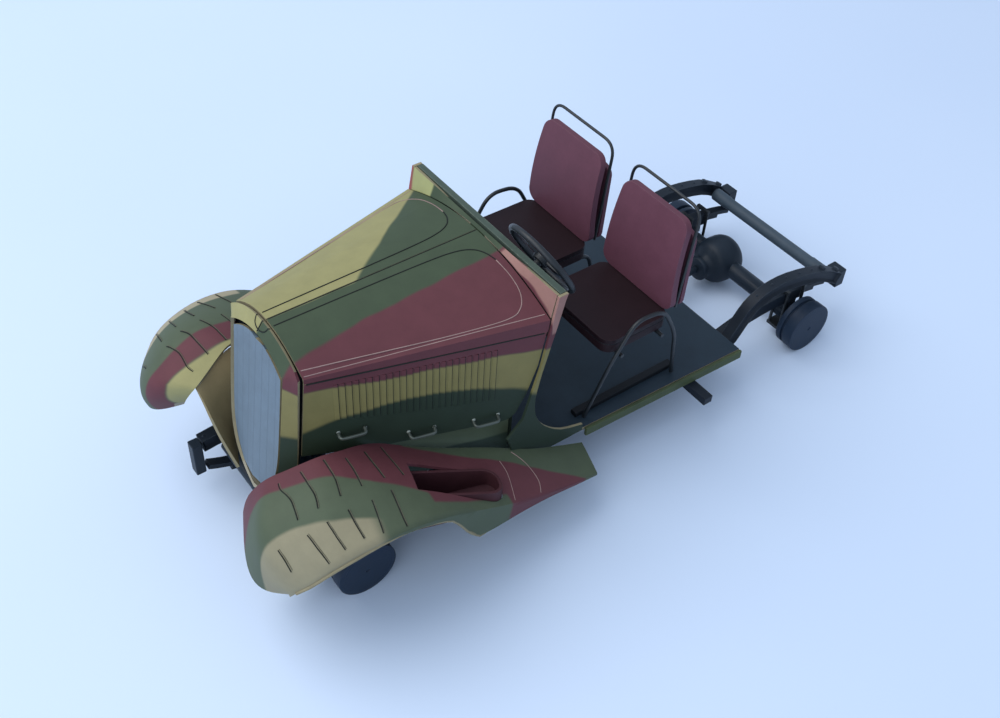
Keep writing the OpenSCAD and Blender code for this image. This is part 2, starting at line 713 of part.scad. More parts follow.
module spare_wheel_well_right() { right_side() spare_wheel_well(); }

// Apron from the fender's inner edge down past the frame rail
apron_low_z = 15;
apron_rows = smooth([
    [[12.4, -12.3, 28], [10.1, -12, 23.2], [7.6, -11.4, 18.4], [5, -10.4, 13.6]],
    [[13.6, -9.4, 29.2], [12.2, -9.2, 24.4], [10.8, -8.8, 19.6], [9.4, -8.4, 15]],
    [[15, -5.2, 31.2], [13.1, -5, 25.8], [12.3, -4.9, 20.4], [12, -4.9, apron_low_z]],
    [[15.4, -1, 30.6], [13.1, -0.5, 25.6], [12.5, 0, 20.4], [12.4, 0, apron_low_z]],
    [[14.8, 4, 28], [13.6, 4.5, 24.6], [13.1, 5, 19.8], [13, 5, apron_low_z]],
    [[14.3, 6.5, 26], [14, 6.5, 23.4], [13.6, 6.5, 19.4], [13.5, 6.5, apron_low_z]],
    [[13.8, 9, 25.4], [13.8, 9, 22.4], [13.8, 9, 18.8], [13.8, 9, apron_low_z]],
    [[16.3, 19, 24.4], [16.3, 19, 21.4], [16.3, 19, 18.2], [16.3, 19, apron_low_z]],
    [[19.7, 32.4, 23.2], [19.7, 32.4, 20.4], [19.7, 32.4, 17.6], [19.7, 32.4, apron_low_z]]], 2);

module fender_apron() {
    color("#4d5a3a") placed() curved_sheet([for (row = apron_rows) reversed(smooth(row, 2))], card);
}

module fender_apron_left() { fender_apron(); }

module fender_apron_right() { right_side() fender_apron(); }

// --------------------------------------------------------- floor and seats
floor_front_y = bulkhead_y + 0.8 + seam;
floor_rear_y = wheelbase - 23;
edge_h = 2;

module floor_panel() {
    color("#5e7280") placed() translate([0, 0, floor_z - floor_t]) linear_extrude(floor_t)
        polygon([[-floor_front_x, floor_front_y], [floor_front_x, floor_front_y],
            [floor_rear_x, floor_rear_y], [-floor_rear_x, floor_rear_y]]);
}

module floor_edges() {
    start = floor_rear_y - 41;
    x0 = floor_front_x + (floor_rear_x - floor_front_x) * (start - floor_front_y)
        / (floor_rear_y - floor_front_y);
    color("#6c7a4c") placed() for (side = [0, 1]) mirror([side, 0, 0])
        translate([0, 0, floor_z - edge_h]) linear_extrude(edge_h)
        polygon([[x0 + seam, start], [x0 + seam + 0.7, start],
            [floor_rear_x + seam + 0.7, floor_rear_y], [floor_rear_x + seam, floor_rear_y]]);
}

module floor_runners() {
    color("#1f262c") placed() for (side = [0, 1]) mirror([side, 0, 0])
        translate([17.3, floor_rear_y - 41, floor_z + 0.05]) cube([1.6, 25.5, 1.1]);
}

cushion_front_y = floor_rear_y - 38;
cushion_rear_y = floor_rear_y - 22.4;
back_low_y = cushion_rear_y + 0.8;
back_lean = 6;
back_t = 1.4;
back_cover_t = 0.9;
wire_slot = 2 * wire_r + 0.1;
corner_r = 2.4;

module seat_cushion() {
    color("#6e3540") placed() translate([seat_x, cushion_front_y, seat_z - cushion_t])
        linear_extrude(cushion_t)
        polygon(round_panel(seat_w, seat_w, cushion_rear_y - cushion_front_y, corner_r));
}

module seat_cushion_left() { seat_cushion(); }

module seat_cushion_right() { right_side() seat_cushion(); }

// Runs its children in the seat back's own plane, x across and y up
module on_back() {
    translate([seat_x, back_low_y, seat_z + 0.1]) rotate([90 - back_lean, 0, 0]) children();
}

module seat_back() {
    color("#8a4f5a") placed() on_back() {
        linear_extrude(back_t) polygon(round_panel(seat_w + 0.6, seat_w - 1.4, back_h, corner_r));
        translate([0, 0, -wire_slot - back_cover_t]) linear_extrude(back_cover_t)
            polygon(round_panel(seat_w + 0.2, seat_w - 1.8, back_h - 0.4, corner_r));
    }
}

module seat_back_left() { seat_back(); }

module seat_back_right() { right_side() seat_back(); }

foot_z = floor_z + 0.4;
hoop_x = seat_w / 2 + 1.3;
low_bar_z = seat_z - cushion_t - wire_r - 0.1;
loop_half = seat_w / 2 - 0.1;

// Wire frame of a seat: arm hoop outside, low hoop inside, two rods, back loop
module seat_frame() {
    color("#1d2329") placed() {
        translate([seat_x + hoop_x, cushion_front_y, 0]) wire(rounded([[0, -1.4, foot_z],
            [0, 0, seat_z - 3.4], [0, 5.2, seat_z + 4], [0, 12.4, seat_z + 3.2],
            [0, 16.6, seat_z - 3.4], [0, 21.4, foot_z]], 3, 5), wire_r, [1, 0, 0]);
        translate([seat_x - seat_w / 2 + 1.2, cushion_front_y, 0])
            wire(rounded([[0, -1.4, foot_z], [0, 0, low_bar_z], [0, 16.6, low_bar_z],
            [0, 21.4, foot_z]], 2.4, 5), wire_r, [1, 0, 0]);
        for (y = [cushion_front_y + 3, cushion_front_y + 13]) {
            inner = seat_x - seat_w / 2 + 1.2 + wire_r + seam;
            outer = seat_x + hoop_x - wire_r + 0.3;
            cross_bar(inner, outer, y, low_bar_z, wire_r);
        }
        on_back() translate([0, 0, -wire_slot / 2]) wire(rounded([[-loop_half, 0.4, 0],
            [0.2 - loop_half, back_h + 2.8, 0], [loop_half - 0.2, back_h + 2.8, 0],
            [loop_half, 0.4, 0]], 3, 5), wire_r, [0, 0, 1]);
    }
}

module seat_frame_left() { seat_frame(); }

module seat_frame_right() { right_side() seat_frame(); }

frame_rail_left();
frame_rail_right();
front_crossmember();
frame_crossbars();
rear_cross_tube();
outrigger_bars();
front_spring_left();
front_spring_right();
rear_spring_left();
rear_spring_right();
spring_shackles();
spring_bolts();
front_axle();
rear_axle();
front_knuckle_left();
front_knuckle_right();
hub_drum_front_left();
hub_drum_front_right();
hub_drum_rear_left();
hub_drum_rear_right();
transfer_case();
front_propeller_shaft();
rear_propeller_shaft();
radiator_face();
radiator_shell();
radiator_core();
hood_top_left();
hood_top_right();
hood_side_left();
hood_side_right();
hood_handles();
cowl_top();
cowl_side_left();
cowl_side_right();
cowl_frame();
bulkhead();
front_fender_left();
front_fender_right();
fender_apron_left();
fender_apron_right();
spare_wheel_well_left();
spare_wheel_well_right();
floor_panel();
floor_edges();
floor_runners();
seat_cushion_left();
seat_cushion_right();
seat_back_left();
seat_back_right();
seat_frame_left();
seat_frame_right();
steering_column();
steering_wheel();
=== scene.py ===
# %% [markdown]
# # A light army 4x4 car in card and wire
# The object is an unfinished paper model, 147 mm long: a ladder frame on four bare hub drums, with its hood, front
# fenders, floor and two seats in place, and no wheels, doors or rear body yet. This script dresses its measured solids.
# The solids give every place and size. Here each piece gets its real edges, seams and small parts, and a finish that is
# named for the real stuff: printed card, painted card, enamelled wire and glue.

# %% Load the measured model
import json
from math import cos, pi, radians, sin

import bmesh
import bpy
from mathutils import Matrix, Vector
from mathutils.bvhtree import BVHTree


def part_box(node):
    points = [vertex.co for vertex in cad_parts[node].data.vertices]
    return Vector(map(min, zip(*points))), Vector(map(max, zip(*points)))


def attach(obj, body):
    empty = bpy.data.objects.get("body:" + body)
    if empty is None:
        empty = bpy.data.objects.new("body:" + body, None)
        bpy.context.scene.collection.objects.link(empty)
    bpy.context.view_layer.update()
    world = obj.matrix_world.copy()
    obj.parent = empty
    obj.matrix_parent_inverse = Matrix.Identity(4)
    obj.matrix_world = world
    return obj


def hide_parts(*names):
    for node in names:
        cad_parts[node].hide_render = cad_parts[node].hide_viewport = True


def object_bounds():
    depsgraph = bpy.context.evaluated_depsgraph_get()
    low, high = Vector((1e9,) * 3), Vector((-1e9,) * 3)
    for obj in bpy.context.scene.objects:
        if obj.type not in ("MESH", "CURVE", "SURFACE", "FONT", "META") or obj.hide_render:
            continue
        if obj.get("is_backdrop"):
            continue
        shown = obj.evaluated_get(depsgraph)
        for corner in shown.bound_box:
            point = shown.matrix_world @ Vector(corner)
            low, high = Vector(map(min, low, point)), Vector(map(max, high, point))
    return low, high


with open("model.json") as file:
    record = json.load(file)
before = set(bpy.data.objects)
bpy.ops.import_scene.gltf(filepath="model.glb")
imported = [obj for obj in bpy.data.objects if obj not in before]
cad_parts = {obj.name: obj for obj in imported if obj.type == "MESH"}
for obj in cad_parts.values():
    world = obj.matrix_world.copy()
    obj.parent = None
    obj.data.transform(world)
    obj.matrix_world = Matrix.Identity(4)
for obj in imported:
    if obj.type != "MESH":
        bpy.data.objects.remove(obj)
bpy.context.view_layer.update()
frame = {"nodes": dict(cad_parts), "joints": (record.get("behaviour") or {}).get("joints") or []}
joints = {joint["name"]: joint for joint in frame["joints"]}
front_axle_y = joints["spin_front_left"]["pos_m"][1]
wheelbase = 1000 * (joints["spin_rear_left"]["pos_m"][1] - front_axle_y)
print("solids:", len(frame["nodes"]), "wheelbase in mm:", round(wheelbase, 2))

# %% [markdown]
# ## Working in millimetres from the front axle
# A model maker measures this car in millimetres, so the pieces are shaped in millimetres: x to the car's left, y
# backwards from the front axle, z up from the table. One matrix takes a finished shape to its place in metres. Working
# in metres all the way was the other choice, but then every bevel would be a number like 0.00015.

# %% From millimetres to the model's place
to_metres = Matrix.Translation((0, front_axle_y, 0)) @ Matrix.Scale(0.001, 4)
to_millimetres = to_metres.inverted()
SAME_POINT = 0.004
SHARP_FOLD = radians(38)


def copied(node):
    """A CAD node's mesh in millimetres, its loose triangles merged."""
    bm = bmesh.new()
    bm.from_mesh(frame["nodes"][node].data)
    bmesh.ops.transform(bm, matrix=to_millimetres, verts=bm.verts)
    bmesh.ops.remove_doubles(bm, verts=bm.verts, dist=SAME_POINT)
    bm.normal_update()
    return bm


def flat_faced(bm):
    """Dissolves the lines inside flat faces, for plates and blocks, up to where the finish changes."""
    bmesh.ops.dissolve_limit(bm, angle_limit=radians(1.5), verts=bm.verts, edges=bm.edges, delimit={"MATERIAL"})
    return bm


def four_sided(bm):
    """Pairs the triangles of a curved sheet, and keeps its cut edges sharp under subdivision."""
    bmesh.ops.join_triangles(bm, faces=bm.faces, angle_face_threshold=0.6, angle_shape_threshold=1.4)
    crease = bm.edges.layers.float.new("crease_edge")
    for edge in bm.edges:
        if len(edge.link_faces) != 2 or edge.calc_face_angle(0) > SHARP_FOLD:
            edge[crease] = 1
    return bm


def set_down(bm, place, angle=0.0, axis="X", verts=None):
    """Turns a shape about its origin and moves it to its place."""
    matrix = Matrix.Translation(place) @ Matrix.Rotation(angle, 4, axis)
    bmesh.ops.transform(bm, matrix=matrix, verts=verts or bm.verts)


def join(bm, other):
    """Adds a copy of another shape, and gives the points that came with it."""
    before = len(bm.verts)
    mesh = bpy.data.meshes.new("part")
    other.to_mesh(mesh)
    bm.from_mesh(mesh)
    bpy.data.meshes.remove(mesh)
    bm.verts.ensure_lookup_table()
    return bm.verts[before:]


def piece(bm, name, body, coats, stands_for=(), edges=0.0, levels=0, angle=40):
    """Makes a shape in millimetres an object in its place, with its finishes, on the body that it moves with."""
    for face in bm.faces:
        face.smooth = True
    bmesh.ops.transform(bm, matrix=to_metres, verts=bm.verts)
    mesh = bpy.data.meshes.new(name)
    bm.to_mesh(mesh)
    bm.free()
    mesh.set_sharp_from_angle(angle=radians(angle))
    made = bpy.data.objects.new(name, mesh)
    for coat in coats:
        mesh.materials.append(coat)
    bpy.context.scene.collection.objects.link(made)
    if edges:
        rounding = made.modifiers.new("rounded_edges", "BEVEL")
        rounding.width, rounding.segments = edges / 1000, 2
        rounding.limit_method, rounding.angle_limit = "ANGLE", radians(35)
        rounding.harden_normals = True
    if levels:
        curve = made.modifiers.new("smooth_curve", "SUBSURF")
        curve.levels = curve.render_levels = levels
    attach(made, body)
    if stands_for:
        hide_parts(*stands_for)
    print(name, "faces:", len(mesh.polygons))
    return made


print("one metre is", round(to_millimetres.to_scale().x), "of the workshop's units")

# %% [markdown]
# ## The camera
# The model is seen from in front of its left side and from above, with a slightly long lens, and the view leans by
# just under four degrees. The camera looks from one point to another, and the lean is a turn about its own line of
# sight.

# %% Camera
eye = Vector((0.13193, -0.11577, 0.18195))
seen = Vector((0.00944, -0.01629, 0.02701))
camera = bpy.data.objects.new("camera", bpy.data.cameras.new("camera"))
camera.data.lens, camera.data.sensor_width = 42.82, 36
lean = Matrix.Rotation(radians(3.86), 4, "Z")
turn = (seen - eye).to_track_quat("-Z", "Y").to_matrix().to_4x4() @ lean
camera.matrix_world = Matrix.Translation(eye) @ turn
camera.data.clip_start = 0.01
bpy.context.scene.collection.objects.link(camera)
bpy.context.scene.camera = camera
print("camera is", round(1000 * (seen - eye).length), "mm from the middle of the model")

# %% [markdown]
# ## Soft light on a pale table
# A small model is lit like a product: a large soft lamp high on its front right, so that the tops are bright and the
# side towards the camera is in gentle shade, and a pale sky all round that fills the shade. Lamps with a large face
# give wide soft shadows; a sun lamp would draw hard ones, which tell the eye that the object is a real car.

# %% Lamps and sky


def lamp(name, place, aim, size, power, colour):
    """A round soft lamp at one point, shining at another."""
    light = bpy.data.lights.new(name, "AREA")
    light.shape, light.size, light.energy, light.color = "DISK", size, power, colour
    holder = bpy.data.objects.new(name, light)
    place, aim = Vector(place), Vector(aim)
    holder.matrix_world = Matrix.Translation(place) @ (aim - place).to_track_quat("-Z", "Y").to_matrix().to_4x4()
    bpy.context.scene.collection.objects.link(holder)


lamp("window", (-0.27, -0.34, 0.64), (0, 0, 0.02), 0.8, 4.4, (1.0, 0.97, 0.93))
lamp("room", (0.35, -0.8, 0.5), (0, -0.05, 0.02), 0.9, 3.1, (0.9, 0.95, 1.0))
scene = bpy.context.scene
scene.view_settings.view_transform = "Standard"
scene.world = bpy.data.worlds.new("sky")
scene.world.use_nodes = True


def srgb(code):
    """A colour written as sRGB hex, as the linear numbers that the shaders take."""
    parts = [int(code[k:k + 2], 16) / 255 for k in (1, 3, 5)]
    return [p / 12.92 if p <= 0.04045 else ((p + 0.055) / 1.055) ** 2.4 for p in parts] + [1.0]


def add(tree, kind, sockets=(), **settings):
    """Adds a shader node: settings are its own choices, and sockets are values or links for its inputs."""
    node = tree.nodes.new("ShaderNode" + kind)
    for key, value in settings.items():
        setattr(node, key, value)
    for key, value in dict(sockets).items():
        if isinstance(value, bpy.types.NodeSocket):
            tree.links.new(value, node.inputs[key])
        else:
            node.inputs[key].default_value = value
    return node


sky = scene.world.node_tree
sky.nodes.clear()
ray = add(sky, "LightPath")
plain = add(sky, "Background", {"Color": srgb("#dce8f7"), "Strength": 0.76})
seen_sky = add(sky, "Background", {"Color": srgb("#c6d9f3"), "Strength": 0.85})
either = add(sky, "Math", {0: ray.outputs["Is Camera Ray"], 1: ray.outputs["Is Glossy Ray"]}, operation="MAXIMUM")
shown = add(sky, "MixShader", {0: either.outputs[0], 1: plain.outputs[0], 2: seen_sky.outputs[0]})
add(sky, "OutputWorld", {"Surface": shown.outputs[0]})

# %% [markdown]
# ## Finishes: one way to speak about colour, place and size
# Nearly all of this model is card with a colour on it. The colour is either printed, as on the hood and the fenders, or
# brushed on, as on the frame. The patterns are worked out in millimetres from the place of each point, so the bands of
# the camouflage run on from one piece to the next, as they do where one printed sheet is folded. An image laid on the
# surface would be the usual way in a game, but it would need unwrapping and would not stay sharp.

# %% Places, bands and patches in millimetres


def millimetres(tree, wander=0.0, size=14.0):
    """The point's place in millimetres from the front axle, pushed about a little to make edges wander."""
    place = add(tree, "TexCoord").outputs["Object"]
    plain_mm = add(tree, "Mapping", {
        "Vector": place, "Location": (0, -1000 * front_axle_y, 0), "Scale": (1000, 1000, 1000)}).outputs[0]
    if not wander:
        return plain_mm
    noise = add(tree, "TexNoise", {"Vector": plain_mm, "Scale": 1 / size, "Detail": 2.0})
    push = add(tree, "VectorMath", {
        0: noise.outputs[1], 1: (2 * wander,) * 3, 2: (-wander,) * 3}, operation="MULTIPLY_ADD")
    return add(tree, "VectorMath", {0: plain_mm, 1: push.outputs[0]}, operation="ADD").outputs[0]


def past(tree, mm, point, towards, blur=0.35):
    """1 on the side of a plane through point that lies towards a direction."""
    towards = Vector(towards).normalized()
    start = towards.dot(Vector(point))
    along = add(tree, "VectorMath", {0: mm, 1: towards}, operation="DOT_PRODUCT").outputs[1]
    return add(tree, "MapRange", {0: along, 1: start - blur, 2: start + blur},
               interpolation_type="SMOOTHSTEP").outputs[0]


def inside(tree, mm, centre, radii, blur=0.03):
    """1 inside an oval round centre."""
    away = add(tree, "VectorMath", {0: mm, 1: centre}, operation="SUBTRACT").outputs[0]
    share = add(tree, "VectorMath", {0: away, 1: radii}, operation="DIVIDE").outputs[0]
    far = add(tree, "VectorMath", {0: share}, operation="LENGTH").outputs[1]
    return add(tree, "MapRange", {0: far, 1: 1 + blur, 2: 1 - blur}, interpolation_type="SMOOTHSTEP").outputs[0]


def mixed(tree, share, first, second):
    """A colour between two others."""
    return add(tree, "Mix", {0: share, 6: first, 7: second}, data_type="RGBA").outputs[2]


def patches(tree, mm, base, layers):
    """A base colour with patches laid over it in turn; a patch fills the part that all of its tests keep."""
    paint = srgb(base)
    for colour, *tests in layers:
        share = None
        for test in tests:
            part = inside(tree, mm, *test[1:]) if test[0] == "oval" else past(tree, mm, *test)
            share = part if share is None else add(tree, "Math", {0: share, 1: part}, operation="MULTIPLY").outputs[0]
        paint = mixed(tree, share, paint, srgb(colour))
    return paint


print("a point's place in millimetres takes", round(1000 * front_axle_y, 2), "mm off its y")

# %% [markdown]
# ## The look of card
# Card is pressed wood fibre, about 0.3 to 0.6 mm thick. Ink from a printer sinks in, so it stays matt, with a faint
# cloudiness and fibres 0.2 to 0.4 mm long that break up the light. The fibres are drawn as coarse as they need to be to
# show at all. Card has the IOR of paper fibre, about 1.5, and a roughness of 0.5 to 0.7.

# %% Card finishes


def fresh_material(name):
    """A new material, its node tree and its shader."""
    material = bpy.data.materials.new(name)
    material.use_nodes = True
    return material, material.node_tree, material.node_tree.nodes["Principled BSDF"]


def shaded(colour, by):
    """A colour made darker or paler."""
    return [min(1, by * c) for c in colour[:3]] + [1]


def card_surface(tree, paint, roughness=0.6, cloud=0.07, fibre=0.000018, wear=None):
    """Joins a colour to the shader with cloudy ink, fibres and, where asked, edges worn to a paler colour."""
    shader = tree.nodes["Principled BSDF"]
    mm = millimetres(tree)
    clouds = add(tree, "TexNoise", {"Vector": mm, "Scale": 0.28, "Detail": 4.0, "Roughness": 0.6}).outputs[0]
    value = add(tree, "MapRange", {0: clouds, 1: 0.3, 2: 0.7, 3: 1 - cloud, 4: 1 + cloud}).outputs[0]
    if not isinstance(paint, bpy.types.NodeSocket):
        grain = add(tree, "TexNoise", {"Vector": mm, "Scale": 1.6, "Detail": 3.0}).outputs[0]
        paint = mixed(tree, grain, shaded(paint, 0.94), shaded(paint, 1.06))
    paint = add(tree, "HueSaturation", {"Value": value, "Color": paint}).outputs[0]
    if wear:
        worn, radius, amount = wear
        bare = add(tree, "NewGeometry").outputs["Normal"]
        eased = add(tree, "Bevel", {"Radius": radius / 1000}, samples=6).outputs[0]
        flat = add(tree, "VectorMath", {0: bare, 1: eased}, operation="DOT_PRODUCT").outputs[1]
        edge = add(tree, "MapRange", {0: flat, 1: 0.995, 2: 0.85}).outputs[0]
        rubbed = add(tree, "TexNoise", {"Vector": mm, "Scale": 0.8, "Detail": 3.0}).outputs[0]
        spots = add(tree, "MapRange", {0: rubbed, 1: 0.35, 2: 0.6, 3: 0.0, 4: amount}).outputs[0]
        share = add(tree, "Math", {0: edge, 1: spots}, operation="MULTIPLY").outputs[0]
        paint = mixed(tree, share, paint, srgb(worn))
    tree.links.new(paint, shader.inputs["Base Color"])
    rough = add(tree, "MapRange", {0: clouds, 3: roughness - 0.08, 4: roughness + 0.08}).outputs[0]
    tree.links.new(rough, shader.inputs["Roughness"])
    fibres = add(tree, "TexNoise", {"Vector": mm, "Scale": 2.6, "Detail": 2.0, "Roughness": 0.7}).outputs[0]
    bump = add(tree, "Bump", {"Strength": 0.7, "Distance": fibre, "Height": fibres}).outputs[0]
    tree.links.new(bump, shader.inputs["Normal"])
    shader.inputs["IOR"].default_value = 1.5
    shader.inputs["Specular IOR Level"].default_value = 0.22


def card(name, base, layers=(), wander=0.0, **finish):
    """A material of printed or painted card."""
    material, tree, _ = fresh_material(name)
    paint = patches(tree, millimetres(tree, wander), base, layers) if layers else srgb(base)
    card_surface(tree, paint, **finish)
    return material


SAND, GREEN, MAROON, DEEP = "#8b885f", "#4a5544", "#5a333a", "#28352b"
bare_card = card("bare_grey_card", "#8f8a7a", roughness=0.7, fibre=0.00003)
cut_edge = card("cut_card_edge", "#857e66", roughness=0.75, cloud=0.12, fibre=0.00004)
print("card finishes start with", bare_card.name, "and", cut_edge.name)

# %% [markdown]
# ## Camouflage on the hood, the shell and the cowl
# The body sheet is printed in sand, green and maroon. Over the hood the bands run along the car: sand on its right,
# green on the middle and maroon over its left shoulder, and down the left side drab sand with dark green below. The
# rear rim of the cowl has pale bands of its own. Each band is a half space or an oval in millimetres, and a slow
# noise moves its edge by a millimetre or so. An oval's 900 mm across the car means that it passes right through.

# %% Camouflage of the body
DRAB = "#777149"
ON_LEFT, ON_RIGHT = ((4, 0, 0), (1, 0, 0)), ((-4, 0, 0), (-1, 0, 0))
REAR_RIM = ((0, 38.25, 0), (0, 1, 0), 0.1)
body_print = card("printed_card_body", "#3d4a39", [
    (SAND, ((0.3, 0, 0), (-1, 0, 0)), ((-2, 16.4, 0), (-0.767, -0.642, 0))),
    (DRAB, ((0, 0, 43), (0, -0.08, -1)), ON_LEFT),
    (DEEP, ("oval", (0, 11, 20), (900, 32, 16)), ON_LEFT),
    (DEEP, ON_LEFT, ((0, 34, 0), (0, 1, 0)), ((0, 0, 27), (0, -0.1, -1))),
    (MAROON, ((8.2, 3, 0), (1, 0.05, 0)), ((0, 0, 43), (0, 0.08, 1))),
    (MAROON, ON_RIGHT, ((0, 0, 41), (0, 0.05, -1))),
    (DRAB, ON_RIGHT, ("oval", (0, 30, 30), (900, 17, 7))),
    (DEEP, ON_RIGHT, ((0, 0, 30), (0, -0.1, -1))),
    ("#8f6c66", ((7, 0, 0), (1, 0, 0)), REAR_RIM, ((0, 0, 43), (0, 0, 1))),
    ("#989b6c", ((-15, 0, 0), (-1, 0, 0)), REAR_RIM, ((0, 0, 44), (0, 0, 1))),
    ("#8c4f4e", ((-21.2, 0, 0), (-1, 0, 0)), REAR_RIM, ((0, 0, 44), (0, 0, 1))),
], wander=1.1)
print(body_print.name, "nodes:", len(body_print.node_tree.nodes))

# %% [markdown]
# ## Camouflage on the two front fenders
# The fenders come from another part of the sheet, so their bands don't meet the hood's. On the left one maroon lies
# along the hood, green runs through the middle and the nose is sand; its tail is maroon between two greens. The right
# one has narrow bands along its length: sand, maroon, green and a cream rim.

# %% Camouflage of the fenders
left_fender_print = card("printed_card_left_fender", GREEN, [
    (MAROON, ((23.6, 0, 0), (-1, 0.56, 0)), ((0, 12, 0), (0, -1, 0))),
    ("#85806a", ((31.5, 0, 0), (1, -0.5, 0)), ((0, -2.2, 0), (0, -1, 0), 1.5)),
    (MAROON, ((10.1, 0, 0), (1, -0.5, 0)), ((0, 9, 0), (0, 1, 0))),
    (GREEN, ((30.6, 0, 0), (1, 0, 0)), ((0, 24, 0), (0, -1, 0)), ((0, 2, 0), (0, 1, 0))),
], wander=1.2)
right_fender_print = card("printed_card_right_fender", GREEN, [
    (SAND, ((-17, 0, 0), (1, 0, 0))),
    (MAROON, ((-22, 0, 0), (1, 0.05, 0)), ((-17.2, 0, 0), (-1, 0, 0))),
    (MAROON, ((0, 16, 0), (0, 1, 0)), ((-29, 0, 0), (1, 0, 0))),
    ("#97907a", ((-31.6, 0, 0), (-1, -0.12, 0)), ((0, 6, 0), (0, -1, 0))),
], wander=0.9)
apron_print = card("printed_card_apron", "#857859", [
    (GREEN, ((0, 4, 0), (0, 1, -0.2))), (DEEP, ((0, 0, 20), (0, 0, -1)), ((0, 14, 0), (0, 1, 0)))], wander=1.2)
well_print = card("printed_card_wheel_well", "#43262c", cloud=0.1)
print("fender finishes:", left_fender_print.name, right_fender_print.name, apron_print.name, well_print.name)

# %% [markdown]
# ## Painted card of the frame, the drums, the floor and the seats
# The chassis card is brushed with a dark blue-black paint that is a little shinier than print, and its corners are
# rubbed to a paler grey-blue. The drums are the same card, laminated and turned. The floor is slate blue, the seats are
# a dull wine red, and the cushions are a darker wine whose colour is darkened further as painted shade. The rubbed
# edges come from comparing the true normal with one that is rounded over 0.2 mm.

# %% Chassis, floor and seat finishes
chassis_paint = card("painted_card_chassis", "#171f29", roughness=0.5, cloud=0.14, wear=("#46525f", 0.22, 0.6))
axle_paint = card("painted_card_axles", "#1b2530", roughness=0.46, cloud=0.12, wear=("#4d5b6b", 0.25, 0.5))
tube_paint = card("painted_paper_tube", "#3b4854", roughness=0.5, cloud=0.12, wear=("#66737f", 0.2, 0.5))
drum_paint = card("laminated_card_drum", "#1c2a3c", roughness=0.5, cloud=0.1, wear=("#46566c", 0.2, 0.5))
floor_paint = card("painted_card_floor", "#24323e", roughness=0.55, cloud=0.1)
strip_paint = card("painted_card_olive_strip", "#404b34", roughness=0.6, cloud=0.14, wear=("#7d8266", 0.2, 0.5))
runner_paint = card("painted_card_black", "#0f1318", roughness=0.55, cloud=0.12, wear=("#3c4550", 0.2, 0.5))
seat_paint = card("painted_card_wine_red", "#5d3947", roughness=0.55, cloud=0.07, wear=("#8a7079", 0.2, 0.3))
# Cushion colour: the card's own dark wine, darkened further as painted shade.
cushion_paint_and_shade = card("painted_card_dark_wine_and_painted_shade", "#1e0f15", roughness=0.55, cloud=0.08, wear=("#5f434c", 0.2, 0.3))
frame_strip_paint = card("painted_card_grey_green", "#424f48", roughness=0.58, cloud=0.12, wear=("#858d80", 0.22, 0.8))
# Line finishes: the dark one is ink and also painted shadow of gaps and cuts; the two pale ones are painted highlights.
ink_line = card("scored_ink_line", "#1b1f1c", roughness=0.6)
lip_highlight_line = card("raised_slit_lip", "#5c5c4e", roughness=0.7)
worn_line = card("worn_fold_line", "#8f7977", roughness=0.7)
print("painted finishes:", sum(m.name.startswith("painted") for m in bpy.data.materials))

# %% [markdown]
# ## The radiator's blue card, the wires and the glue
# The radiator is plain blue-grey card with fine upright lines pressed into it about a millimetre apart. The seat frames
# and the steering wheel are steel wire under black enamel, whose thin coat is satin and slightly uneven. The hood
# handles are bare pale wire, and a few drops of clear craft glue shine beside them.

# %% Radiator card, wires and glue
LINE_PITCH, LINE_WIDTH = 1.1, 0.16
radiator_card, tree, shader = fresh_material("pressed_blue_card")
card_surface(tree, srgb("#61717f"), roughness=0.5, cloud=0.08)
mm = millimetres(tree)
across = add(tree, "SeparateXYZ", {0: mm}).outputs[0]
pitch = add(tree, "Math", {0: across, 1: LINE_PITCH}, operation="PINGPONG").outputs[0]
ridge = add(tree, "MapRange", {0: pitch, 1: 0.0, 2: LINE_WIDTH}, interpolation_type="SMOOTHSTEP").outputs[0]
old = shader.inputs["Base Color"].links[0].from_socket
tree.links.new(mixed(tree, ridge, srgb("#596876"), old), shader.inputs["Base Color"])
pressed = add(tree, "Bump", {"Strength": 0.8, "Distance": 0.00004, "Height": ridge,
                             "Normal": shader.inputs["Normal"].links[0].from_socket}).outputs[0]
tree.links.new(pressed, shader.inputs["Normal"])


def wire_finish(name, colour, roughness, metallic, coat):
    """Enamelled or bare steel wire, with the small runs and dull spots of a dipped coat."""
    material, tree, shader = fresh_material(name)
    mm = millimetres(tree)
    runs = add(tree, "TexNoise", {"Vector": mm, "Scale": 0.5, "Detail": 3.0}).outputs[0]
    paint = mixed(tree, runs, shaded(srgb(colour), 0.8), shaded(srgb(colour), 1.25))
    tree.links.new(paint, shader.inputs["Base Color"])
    rough = add(tree, "MapRange", {0: runs, 1: 0.3, 2: 0.7, 3: roughness - 0.08, 4: roughness + 0.1}).outputs[0]
    tree.links.new(rough, shader.inputs["Roughness"])
    bump = add(tree, "Bump", {"Strength": 0.5, "Distance": 0.00004, "Height": runs}).outputs[0]
    tree.links.new(bump, shader.inputs["Normal"])
    shader.inputs["Metallic"].default_value = metallic
    shader.inputs["Coat Weight"].default_value = coat
    return material


black_wire = wire_finish("black_enamelled_steel_wire", "#10161b", 0.5, 0.0, 0.12)
pale_wire = wire_finish("bare_tinned_steel_wire", "#5a615b", 0.42, 0.6, 0.0)
glue = wire_finish("dried_clear_craft_glue", "#7f867e", 0.25, 0.0, 0.6)
print("wires and glue:", black_wire.name, pale_wire.name, glue.name)

# %% [markdown]
# ## The table
# The model stands on a plain pale sheet. It is far larger than the view, so its edge shows only as a horizon, when the
# camera is low.

